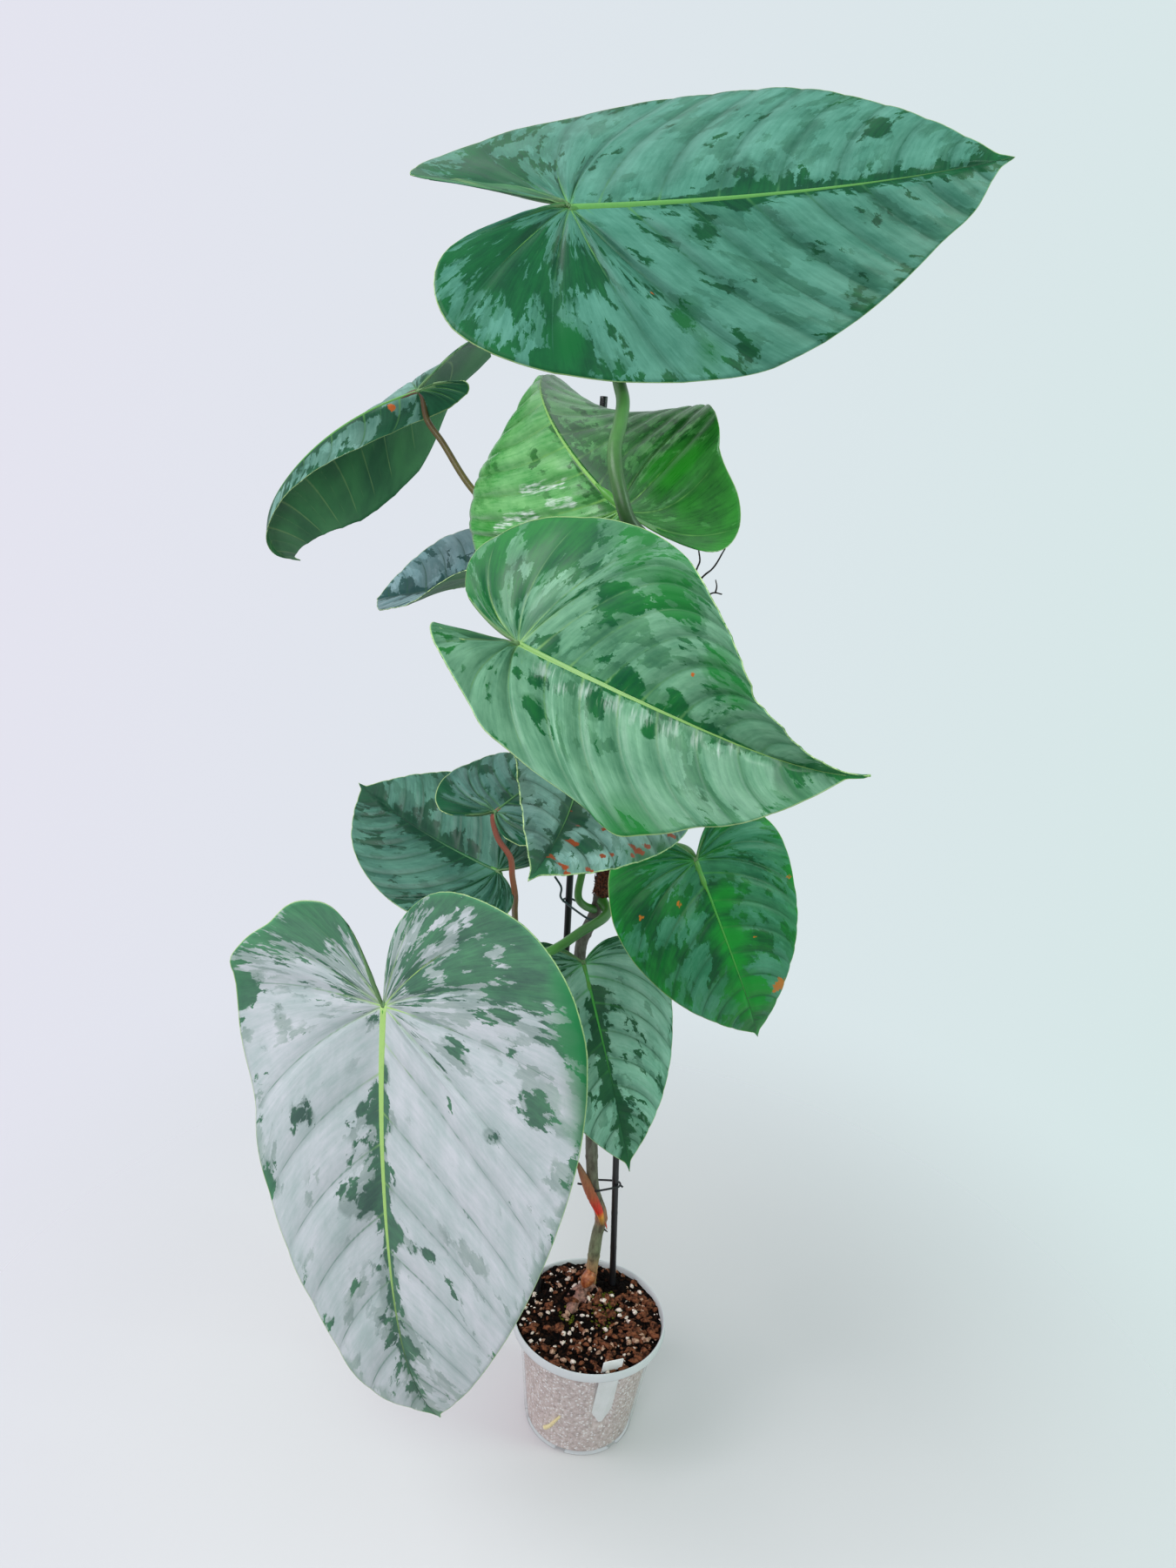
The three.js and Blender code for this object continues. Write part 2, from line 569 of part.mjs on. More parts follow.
// A closed hoop of round wire through points, all at one height.
function hoopSolid(points, radius) {
  const count = points.length * 2;
  const curve = curveThrough(points, true);
  const up = new THREE.Vector3(0, 0, 1);
  const positions = [];
  for (let i = 0; i < count; i++) {
    const centre = curve.getPointAt(i / count);
    const side = new THREE.Vector3().crossVectors(curve.getTangentAt(i / count), up).normalize();
    for (let k = 0; k < WIRE_SIDES; k++) {
      const angle = (2 * Math.PI * k) / WIRE_SIDES;
      const corner = centre.clone()
        .addScaledVector(side, radius * Math.cos(angle))
        .addScaledVector(up, radius * Math.sin(angle));
      positions.push(corner.x, corner.y, corner.z);
    }
  }
  const faces = [];
  for (let i = 0; i < count; i++) {
    const next = ((i + 1) % count) * WIRE_SIDES;
    for (let k = 0; k < WIRE_SIDES; k++) {
      const a = i * WIRE_SIDES + k;
      const b = i * WIRE_SIDES + ((k + 1) % WIRE_SIDES);
      const c = next + k;
      const d = next + ((k + 1) % WIRE_SIDES);
      faces.push(a, c, b, b, c, d);
    }
  }
  const geometry = new THREE.BufferGeometry();
  geometry.setAttribute("position", new THREE.Float32BufferAttribute(positions, 3));
  geometry.setIndex(faces);
  return solidOf(geometry);
}

// A wire tie: a loop round the stem and a stake at a height, with two loose tails, wider by extra.
function tieSolid(stakePath, height, tails, extra) {
  const stem = pointAtHeight(curveThrough(STEM_PATH), height);
  const stake = pointAtHeight(curveThrough(stakePath), height);
  const toStake = Math.atan2(stake.y - stem.y, stake.x - stem.x);
  const loop = [];
  const addArc = (centre, reach, from) => {
    for (let k = 0; k <= ARC_STEPS; k++) {
      const angle = from + (Math.PI * k) / ARC_STEPS;
      loop.push([centre.x + reach * Math.cos(angle), centre.y + reach * Math.sin(angle), height]);
    }
  };
  addArc(stem, STEM_RADIUS + RING_STEP + TIE_RADIUS + TIE_SLACK, toStake + Math.PI / 2);
  addArc(stake, STAKE_RADIUS + TIE_RADIUS + TIE_SLACK, toStake - Math.PI / 2);
  const radius = TIE_RADIUS + extra;
  const tailSolids = tails.map((tail) => tubeSolid(tail, () => radius, WIRE_SIDES, TAIL_STEPS));
  return joined([hoopSolid(loop, radius), ...tailSolids]);
}

// Degrees to radians.
function rad(degrees) {
  return THREE.MathUtils.degToRad(degrees);
}

// A point of a cubic Bezier.
function bezier(p, t) {
  const u = 1 - t;
  const weights = [u * u * u, 3 * t * u * u, 3 * t * t * u, t * t * t];
  return [0, 1].map((axis) => weights.reduce((sum, w, i) => sum + w * p[i][axis], 0));
}

// The flat margin of one half of a blade, in millimetres: share runs from the sinus to the tip.
function marginPoint(leaf, side, share) {
  const half = leaf.half[side];
  const lobe = leaf.lobe[side];
  const full = leaf.full[side];
  const sinus = leaf.sinus[side];
  const { length, widest } = leaf;
  if (share < INNER_SHARE) {
    const inner = [[0, 0], [sinus, -0.45 * lobe], [0.1 * half + 0.8 * sinus, -lobe],
      [0.46 * half, -lobe]];
    return bezier(inner, share / INNER_SHARE);
  }
  if (share < OUTER_SHARE) {
    const outer = [[0.46 * half, -lobe], [0.8 * half, -lobe],
      [half, widest - 0.55 * (lobe + widest)], [half, widest]];
    return bezier(outer, (share - INNER_SHARE) / (OUTER_SHARE - INNER_SHARE));
  }
  const forward = [[half, widest], [half, widest + 0.5 * (length - widest) * full],
    [0.42 * half * full, 0.84 * length], [0, length]];
  return bezier(forward, (share - OUTER_SHARE) / (1 - OUTER_SHARE));
}

// Where the ribs of both halves leave the midrib: the lobes' ribs all leave the stalk's end.
function ribStart(leaf, share) {
  const [left, right] = [marginPoint(leaf, 0, share), marginPoint(leaf, 1, share)];
  const start = (left[1] + right[1]) / 2 - (RIB_SWEEP * (left[0] + right[0])) / 2;
  return Math.min(leaf.length, Math.max(0, start));
}

// A flat point of a rib: it leaves the stalk or the midrib and bows forward to the margin.
function ribPoint(leaf, side, share, across) {
  const end = marginPoint(leaf, side, share);
  const start = ribStart(leaf, share);
  const dx = end[0];
  const dy = end[1] - start;
  const bow = RIB_BOW * 4 * across * (1 - across) * Math.min(1, share / 0.25);
  return [dx * across + bow * dy, start + dy * across - bow * dx];
}

// The bent place of a flat point, in the blade's own frame.
function bentPoint(leaf, side, flat, share) {
  const sign = side === 0 ? -1 : 1;
  const along = flat[1] / leaf.length;
  const off = Math.abs(flat[0]) / leaf.length;
  const droopAt = (v) => (v > 0
    ? rad(leaf.bend) * v + 2 * rad(leaf.tipBend) * Math.max(0, v - TIP_START) ** 2
    : rad(leaf.lobeBend) * v);
  const centre = [0, 0, 0];
  for (let i = 0; i < BEND_STEPS; i++) {
    const v = (along * (i + 0.5)) / BEND_STEPS;
    const droop = droopAt(v);
    const sway = rad(leaf.sway) * v;
    centre[0] += (Math.cos(droop) * Math.sin(sway) * along) / BEND_STEPS;
    centre[1] += (Math.cos(droop) * Math.cos(sway) * along) / BEND_STEPS;
    centre[2] -= (Math.sin(droop) * along) / BEND_STEPS;
  }
  const fold = rad(leaf.fold[side]);
  const curl = rad(leaf.curl[side]) || 1e-4;
  const flatPart = Math.sin(curl * off) / curl;
  const risePart = (1 - Math.cos(curl * off)) / curl;
  const [waveHeight, waveCount] = leaf.wave;
  const edge = Math.min(1, Math.abs(flat[0]) / leaf.half[side]);
  const wave = (waveHeight / leaf.length) * edge * edge * Math.sin(2 * Math.PI * waveCount * share);
  let across = (flatPart * Math.cos(fold) - risePart * Math.sin(fold)) * sign;
  let rise = flatPart * Math.sin(fold) + risePart * Math.cos(fold) + wave;
  const twist = rad(leaf.twist) * along;
  [across, rise] = [
    across * Math.cos(twist) + rise * Math.sin(twist),
    rise * Math.cos(twist) - across * Math.sin(twist),
  ];
  const droop = droopAt(along);
  const sway = rad(leaf.sway) * along;
  return new THREE.Vector3(
    centre[0] + across * Math.cos(sway) + rise * Math.sin(droop) * Math.sin(sway),
    centre[1] - across * Math.sin(sway) + rise * Math.sin(droop) * Math.cos(sway),
    centre[2] + rise * Math.cos(droop),
  ).multiplyScalar(leaf.length);
}

// The turn and place of a blade: heading about the vertical, then pitch, then roll on the midrib.
function bladeFrame(leaf) {
  const turn = new THREE.Matrix4().makeRotationZ(rad(leaf.heading));
  turn.multiply(new THREE.Matrix4().makeRotationX(rad(leaf.pitch)));
  turn.multiply(new THREE.Matrix4().makeRotationY(rad(leaf.roll)));
  return turn.setPosition(...leaf.base);
}

// The thin blade: both faces split alike, with a wall along the margin.
function bladeSolid(leaf) {
  const positions = [];
  const keys = new Map();
  const vertexAt = (side, rib, step) => {
    const share = rib / BLADE_RIBS;
    const flat = ribPoint(leaf, side, share, step / BLADE_STEPS);
    const key = step === 0 || rib === 0 || rib === BLADE_RIBS
      ? "m" + flat[1].toFixed(4)
      : [side, rib, step].join();
    if (!keys.has(key)) {
      keys.set(key, positions.length / 3);
      positions.push(...bentPoint(leaf, side, flat, share).toArray());
    }
    return keys.get(key);
  };
  const faces = [];
  const rim = [];
  const addFace = (a, b, c) => {
    if (a !== b && b !== c && a !== c) faces.push([a, b, c]);
  };
  for (const side of [0, 1]) {
    for (let rib = 0; rib < BLADE_RIBS; rib++) {
      for (let step = 0; step < BLADE_STEPS; step++) {
        const a = vertexAt(side, rib, step);
        const b = vertexAt(side, rib, step + 1);
        const c = vertexAt(side, rib + 1, step);
        const d = vertexAt(side, rib + 1, step + 1);
        if (side === 1) {
          addFace(a, b, d);
          addFace(a, d, c);
        } else {
          addFace(a, d, b);
          addFace(a, c, d);
        }
      }
      const from = vertexAt(side, rib, BLADE_STEPS);
      const to = vertexAt(side, rib + 1, BLADE_STEPS);
      rim.push(side === 1 ? [from, to] : [to, from]);
    }
  }
  const upper = new THREE.BufferGeometry();
  upper.setAttribute("position", new THREE.Float32BufferAttribute(positions, 3));
  upper.setIndex(faces.flat());
  upper.computeVertexNormals();
  const normals = upper.attributes.normal.array;
  const count = positions.length / 3;
  const all = new Float32Array(count * 6);
  for (let i = 0; i < count * 3; i++) {
    all[i] = positions[i] + (normals[i] * BLADE_THICKNESS) / 2;
    all[count * 3 + i] = positions[i] - (normals[i] * BLADE_THICKNESS) / 2;
  }
  const index = [];
  for (const [a, b, c] of faces) index.push(a, b, c, c + count, b + count, a + count);
  for (const [from, to] of rim) index.push(from, from + count, to, to, from + count, to + count);
  const blade = new THREE.BufferGeometry();
  blade.setAttribute("position", new THREE.BufferAttribute(all, 3));
  blade.setIndex(index);
  blade.applyMatrix4(bladeFrame(leaf));
  return solidOf(blade);
}

// A leaf: its blade joined to a stalk that runs on under the start of the midrib.
function leafSolid(leaf) {
  const frame = bladeFrame(leaf);
  const under = (along, below) => new THREE.Vector3(0, along, -below).applyMatrix4(frame).toArray();
  const route = [...leaf.route, under(-1, 0.7 * leaf.stalk), under(STALK_RUN, 0.55 * leaf.stalk)];
  const steps = Math.round(1.6 * route.length) + 3;
  const stalkAt = (t) => leaf.stalk * (STALK_SWELL - STALK_TAPER * t);
  const stalk = tubeSolid(route, stalkAt, STALK_SIDES, steps);
  return bladeSolid(leaf).add(stalk);
}

const group = new THREE.Group();

const stemClear = stemBody(GAP);
const standing = [
  stemClear,
  stakeSolid(TALL_STAKE, GAP),
  stakeSolid(SHORT_STAKE, GAP),
  labelSolid(GAP),
];
const lowerTieClear = tieSolid(SHORT_STAKE, LOWER_TIE_HEIGHT, LOWER_TIE_TAILS, GAP);

group.add(namedMesh("pot", potSolid(), POT_COLOUR, 0.35, { transparent: true, opacity: 0.6 }));
group.add(namedMesh("potting_mix", soilSolid(standing), MIX_COLOUR, 0.95));
group.add(namedMesh("plant_label", labelSolid(0), LABEL_COLOUR, 0.4));
group.add(namedMesh("tall_stake", stakeSolid(TALL_STAKE, 0), STAKE_COLOUR, 0.4));
group.add(namedMesh("short_stake", stakeSolid(SHORT_STAKE, 0), STAKE_COLOUR, 0.4));
group.add(namedMesh("stem", stemSolid(), STEM_COLOUR, 0.7));
const sheath = sheathSolid([stemClear, lowerTieClear]);
group.add(namedMesh("stem_sheath", sheath, SHEATH_COLOUR, 0.6));
group.add(namedMesh("fibre_clump", fibreSolid([stemClear]), FIBRE_COLOUR, 0.95));
const lowerTie = tieSolid(SHORT_STAKE, LOWER_TIE_HEIGHT, LOWER_TIE_TAILS, 0);
const upperTie = tieSolid(TALL_STAKE, UPPER_TIE_HEIGHT, UPPER_TIE_TAILS, 0);
group.add(namedMesh("lower_tie", lowerTie, LOWER_TIE_COLOUR, 0.5));
group.add(namedMesh("upper_tie", upperTie, UPPER_TIE_COLOUR, 0.5));
for (const leaf of LEAVES) {
  const solid = largestBody(leafSolid(leaf).subtract(stemClear));
  group.add(namedMesh(leaf.name, solid, LEAF_COLOUR, 0.45));
}

export default group;
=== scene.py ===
"""Looks of the potted philodendron sodiroi: silvery heart-shaped leaves, climbing stem, stakes and pot."""
import logging
import math
from dataclasses import dataclass, field
from enum import IntEnum
from functools import partial
from typing import Any, Callable, Sequence

import bmesh
import bpy
import numpy as np
from bpy.types import Material, Mesh, Node, NodeSocket, NodeTree, Object, World
from mathutils import Matrix, Vector


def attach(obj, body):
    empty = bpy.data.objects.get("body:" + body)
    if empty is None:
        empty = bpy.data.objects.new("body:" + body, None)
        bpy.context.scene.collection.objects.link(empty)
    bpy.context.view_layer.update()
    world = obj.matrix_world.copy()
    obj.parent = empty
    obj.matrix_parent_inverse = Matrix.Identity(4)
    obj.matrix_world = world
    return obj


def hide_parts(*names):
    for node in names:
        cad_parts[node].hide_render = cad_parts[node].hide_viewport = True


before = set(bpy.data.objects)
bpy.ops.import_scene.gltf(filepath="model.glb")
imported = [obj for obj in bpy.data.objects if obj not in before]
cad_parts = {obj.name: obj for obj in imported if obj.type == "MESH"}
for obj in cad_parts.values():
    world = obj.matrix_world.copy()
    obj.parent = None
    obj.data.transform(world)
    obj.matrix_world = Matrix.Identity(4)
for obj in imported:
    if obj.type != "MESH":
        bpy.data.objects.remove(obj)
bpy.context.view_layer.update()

LOG = logging.getLogger("plant")
MM = 0.001
FULL_TURN = 2 * np.pi
SPAN_STEPS = 24
Point = Sequence[float]
Pair = tuple[float, float]
Array = np.ndarray
Adder = Callable[..., Node]
# A value or a place for each share of a run.
Along = Callable[[Array], Array]

# How a blade is laid out and bent, as in the part's source: shares of the margin or midrib, and steps.
INNER_SHARE = 0.2
OUTER_SHARE = 0.5
TIP_START = 0.55
BEND_STEPS = 24
DRIP_START = 0.975

# Pot and mix, in millimetres, as in the part's source.
POT_HEIGHT = 118.0
POT_WALL = 1.6
BASE_RADIUS = 51.0
BODY_TOP_RADIUS = 63.0
LIP_RADIUS = 71.0
LIP_HEIGHT = 9.0
FLOOR_THICKNESS = 3.0
NECK_HEIGHT = 3.0
SOIL_LEVEL = 110.0
SOIL_MOUND = 7.0
MOUND_AT = (-14.0, 30.0)
MOUND_SPREAD = 34.0
LABEL_TURN = -69.0

# The rim is a thin step, so the mix reaches nearly to its outer edge.
RIM_INNER = 68.0
MIX_RADIUS = 67.4

TALL_STAKE = ((-47.5, 23, 84), (-49.5, 26, 112), (-52.8, 60, 452), (-55.5, 67, 526), (-64.3, 106, 916))
SHORT_STAKE = ((25.7, 43, 58), (21, 43, 119), (-2, 43, 430))
STEM_PATH = (
    (-4, 32, 84), (-1, 36, 108), (0, 38, 140), (1, 38, 174), (3, 38, 196), (-7, 38, 227),
    (-15, 38, 289), (-28, 39, 379), (-40, 40, 455), (-40, 40, 478), (-32, 40, 504), (-28, 40, 525),
    (-16, 34, 580), (-8.5, 26, 645), (-1.3, 14, 706), (1, 2, 757), (1.4, -6, 784),
)
STEM_RING_HEIGHTS = (150, 194, 262, 330, 392, 438, 486, 520, 560, 600, 650, 704, 752)


class Face(IntEnum):
    """The material places of a blade."""

    UPPER = 0
    UNDER = 1
    RIM = 2
    RIB = 3


class MixPlace(IntEnum):
    """The material places of the potting mix."""

    COMPOST = 0
    BARK = 1
    PALE_BARK = 2
    PERLITE = 3
    WALL = 4
    MOSS = 5
    CHARCOAL = 6
    ROOT = 7


class StemPlace(IntEnum):
    """The material places of the stem."""

    BARK = 0
    ROOT = 1
    CROWN = 2
    BUD = 3


def linear(code: str) -> tuple[float, ...]:
    """Turns an sRGB hex colour to linear red, green and blue, with an alpha of 1."""
    parts = (int(code[i:i + 2], 16) / 255 for i in (0, 2, 4))
    return (*(c / 12.92 if c <= 0.04045 else ((c + 0.055) / 1.055) ** 2.4 for c in parts), 1.0)


def add_node(
    tree: NodeTree, kind: str, settings: dict[Any, Any] | None = None,
    links: dict[Any, Node | NodeSocket] | None = None,
) -> Node:
    """Adds a node with its settings and links.

    Args:
        tree: The material's node tree.
        kind: The node's type.
        settings: Values by property name, or by input name or number.
        links: What feeds each input, by its name or number: a socket, or a node for its first output.

    Returns:
        The new node.
    """
    node = tree.nodes.new("ShaderNode" + kind)
    for key, value in (settings or {}).items():
        if isinstance(key, str) and hasattr(node, key):
            setattr(node, key, value)
        else:
            node.inputs[key].default_value = value
    for key, source in (links or {}).items():
        socket = source.outputs[0] if isinstance(source, Node) else source
        tree.links.new(socket, node.inputs[key])
    return node


def set_tones(ramp: Node, tones: Sequence[tuple[float, str]]) -> None:
    """Fills a colour ramp.

    Args:
        ramp: The ramp's node.
        tones: Positions in rising order and their colours.
    """
    bar = ramp.color_ramp
    for position, _ in tones[2:]:
        bar.elements.new(position)
    for element, (position, code) in zip(bar.elements, tones):
        element.position = position
        element.color = linear(code)


def smooth(low: float, high: float, value: Array) -> Array:
    """A soft step from 0 at low to 1 at high."""
    t = np.clip((value - low) / (high - low), 0, 1)
    return t * t * (3 - 2 * t)


def bell(value: Array, middle: float, width: float) -> Array:
    """A bell of height 1 round a middle."""
    return np.exp(-(((value - middle) / width) ** 2))


def unit_rows(rows: Array) -> Array:
    """Each row at a length of 1."""
    return rows / np.maximum(np.linalg.norm(rows, axis=1), 1e-9)[:, None]


def ring_angles(count: int) -> Array:
    """Angles evenly round a ring."""
    return np.linspace(0, FULL_TURN, count, endpoint=False)


def curve_points(points: Sequence[Point], closed: bool = False) -> Array:
    """Samples the centripetal Catmull-Rom curve through points.

    Args:
        points: The corners, in millimetres.
        closed: Whether the curve runs back to its start.

    Returns:
        The samples, one a row.
    """
    corners = np.asarray(points, float)
    if closed:
        corners = np.vstack([corners[-1], corners, corners[0], corners[1]])
    else:
        corners = np.vstack([2 * corners[0] - corners[1], corners, 2 * corners[-1] - corners[-2]])
    rows = []
    t = np.linspace(0, 1, SPAN_STEPS, endpoint=False)[:, None]
    for p0, p1, p2, p3 in zip(corners, corners[1:], corners[2:], corners[3:]):
        spans = ((p0, p1), (p1, p2), (p2, p3))
        d0, d1, d2 = (max(1e-4, float(np.linalg.norm(b - a))) ** 0.5 for a, b in spans)
        m1 = ((p1 - p0) / d0 - (p2 - p0) / (d0 + d1) + (p2 - p1) / d1) * d1
        m2 = ((p2 - p1) / d1 - (p3 - p1) / (d1 + d2) + (p3 - p2) / d2) * d1
        rows.append(p1 + m1 * t + (3 * (p2 - p1) - 2 * m1 - m2) * t**2 + (2 * (p1 - p2) + m1 + m2) * t**3)
    if not closed:
        rows.append(corners[-2][None, :])
    return np.vstack(rows)


def run_along(samples: Array) -> Array:
    """The length run at each sample of a curve."""
    return np.concatenate([[0], np.cumsum(np.linalg.norm(np.diff(samples, axis=0), axis=1))])


def points_at(at: float | Array, run: Array, samples: Array) -> Array:
    """Points of a sampled curve.

    Args:
        at: Where to take them, on the scale of run.
        run: A rising value at each sample.
        samples: The curve.

    Returns:
        One point, or one a row.
    """
    return np.stack([np.interp(at, run, samples[:, k]) for k in range(3)], axis=-1)


def path_frames(path: Array) -> tuple[Array, Array]:
    """Two side directions at each point of a path, carried along without spin.

    Args:
        path: The path's points.

    Returns:
        The first and second side directions.
    """
    tangents = unit_rows(np.gradient(path, axis=0))
    first = np.cross(tangents[0], (0.31, 0.93, 0.2))
    firsts = []
    for tangent in tangents:
        first = first - tangent * first.dot(tangent)
        first = first / np.linalg.norm(first)
        firsts.append(first)
    return np.array(firsts), np.cross(tangents, firsts)


def tube_faces(rows: int, sides: int) -> list[tuple[int, ...]]:
    """Faces of a closed tube whose corners are in rows.

    Args:
        rows: How many rings of corners.
        sides: Corners in each ring.

    Returns:
        The faces, with the first and the last ring closed by the last two.
    """
    faces: list[tuple[int, ...]] = []
    for start in range(0, (rows - 1) * sides, sides):
        for k in range(sides):
            a, b = start + k, start + (k + 1) % sides
            faces.append((a, b, b + sides, a + sides))
    return [*faces, tuple(reversed(range(sides))), tuple(range((rows - 1) * sides, rows * sides))]


def turned(radii: Array, heights: Array, sides: int) -> Array:
    """Corners of a section turned round the pot's axis.

    Args:
        radii: The section's radii, or a row of them for each ring.
        heights: Its heights, the same way.
        sides: Corners in each ring.

    Returns:
        The corners, ring by ring.
    """
    angle = ring_angles(sides)
    reach, level = (
        np.broadcast_to(value.reshape(len(value), -1), (len(value), sides)) for value in (radii, heights)
    )
    return np.stack([reach * np.cos(angle), reach * np.sin(angle), level], -1).reshape(-1, 3)


@dataclass
class Shape:
    """A mesh in the making: its corners in millimetres, faces, and values on the corners."""

    corners: list[Array] = field(default_factory=list)
    faces: list[tuple[int, ...]] = field(default_factory=list)
    places: list[int] = field(default_factory=list)
    values: dict[str, list[Array]] = field(default_factory=dict)
    count: int = 0

    def add(self, corners: Array, faces: Sequence[Sequence[int]], place: int = 0, **values: Array) -> None:
        """Adds corners and faces.

        Args:
            corners: The new corners.
            faces: Faces that number the new corners from 0.
            place: The material place of the faces.
            **values: One value for each corner, by name.
        """
        self.corners.append(np.asarray(corners, float))
        self.faces.extend(tuple(self.count + i for i in face) for face in faces)
        self.places.extend([place] * len(faces))
        for name, value in values.items():
            self.values.setdefault(name, []).append(np.asarray(value, float))
        self.count += len(corners)

    def tube(
        self, points: Sequence[Point], radius: Along, sides: int, steps: int, place: int = 0,
        closed: bool = False, rough: float = 0.0, seed: int = 0,
    ) -> None:
        """Adds a round tube, with the share of its run on each corner as run.

        Args:
            points: The points it runs through.
            radius: Its radius for each share of its length.
            sides: Its sides.
            steps: Its steps.
            place: The material place of its faces.
            closed: Whether it is a closed hoop.
            rough: How uneven its radius is, as a share.
            seed: The draw of that unevenness.
        """
        samples = curve_points(points, closed)
        run = run_along(samples)
        path = points_at(np.linspace(0, run[-1], steps + 1), run, samples)
        share = np.linspace(0, 1, steps + 1)
        first, second = (side[:, None, :] for side in path_frames(path))
        angle = ring_angles(sides)[None, :, None]
        wide = radius(share)[:, None] * np.ones(sides)[None, :]
        if rough:
            draw = np.random.default_rng(seed)
            wide = wide * (1 + rough * draw.uniform(-1, 1, wide.shape))
        corners = path[:, None, :] + (first * np.cos(angle) + second * np.sin(angle)) * wide[:, :, None]
        faces = tube_faces(steps + 1, sides)
        if closed:
            faces = faces[:-2]
        self.add(corners.reshape(-1, 3), faces, place, run=np.repeat(share, sides))

    def piece(self, name: str, materials: Sequence[Material], flat: bool = False) -> Object:
        """Makes the object, in metres.

        Args:
            name: The object's name.
            materials: One for each material place.
            flat: Whether its faces stay flat in shading.

        Returns:
            The object.
        """
        mesh = bpy.data.meshes.new(name)
        mesh.from_pydata((np.vstack(self.corners) * MM).tolist(), [], self.faces)
        for key, rows in self.values.items():
            data = np.concatenate(rows)
            # A value that only some parts of the shape carry isn't kept.
            if len(data) != self.count:
                continue
            kind, target = ("FLOAT_VECTOR", "vector") if data.ndim == 2 else ("FLOAT", "value")
            made = mesh.attributes.new(key, kind, "POINT")
            made.data.foreach_set(target, data.astype(np.float32).ravel())
        mesh.polygons.foreach_set("material_index", self.places)
        mesh.polygons.foreach_set("use_smooth", [not flat and len(face) <= 4 for face in self.faces])
        for material in materials:
            mesh.materials.append(material)
        mesh.update()
        made_object = bpy.data.objects.new(name, mesh)
        bpy.context.scene.collection.objects.link(made_object)
        return made_object


def settle(piece: Object, slot: str, node: str) -> None:
    """Hangs a piece on the plant's root body and hides the CAD node that it stands for.

    Args:
        piece: The new piece.
        slot: Its material slot in the record; not used.
        node: The CAD node that it stands for.
    """
    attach(piece, "root")
    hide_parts(node)
    LOG.info("%s: %d faces", piece.name, len(piece.data.polygons))


class Finish:
    """A finish that makes one material."""

    name: str

    def paint(self, tree: NodeTree) -> Node:
        """Builds the nodes and returns the shader node."""
        raise NotImplementedError

    def material(self) -> Material:
        """Makes the material, or returns the one already made."""
        made = bpy.data.materials.get(self.name)
        if made:
            return made
        made = bpy.data.materials.new(self.name)
        made.use_nodes = True
        made.node_tree.nodes.clear()
        shader = self.paint(made.node_tree)
        add_node(made.node_tree, "OutputMaterial", None, {"Surface": shader})
        return made


def grained(add: Adder, place: NodeSocket, size: Point, detail: float, rough: float = 0.5) -> Node:
    """Noise whose grains have a real size along each axis.

    Args:
        add: Adds a node to the material.
        place: Where each point lies.
        size: The grain's size along each axis, in the unit of place.
        detail: How many finer octaves it has.
        rough: How strong those are.

    Returns:
        The noise.
    """
    at = add("VectorMath", {"operation": "DIVIDE", 1: size}, {0: place})
    return add("TexNoise", {"Scale": 1.0, "Detail": detail, "Roughness": rough}, {"Vector": at})


def skin(
    add: Adder, colour: Node, height: Node, strength: float, relief_mm: float, settings: dict[str, float],
) -> Node:
    """Joins a colour and a fine relief in one shader.

    Args:
        add: Adds a node to the material.
        colour: The colour.
        height: The relief's height.
        strength: How strong the relief is.
        relief_mm: How deep it is.
        settings: The shader's even values.

    Returns:
        The shader.
    """
    bump = add("Bump", {"Strength": strength, "Distance": relief_mm * MM}, {"Height": height})
    return add("BsdfPrincipled", settings, {"Base Color": colour, "Normal": bump})


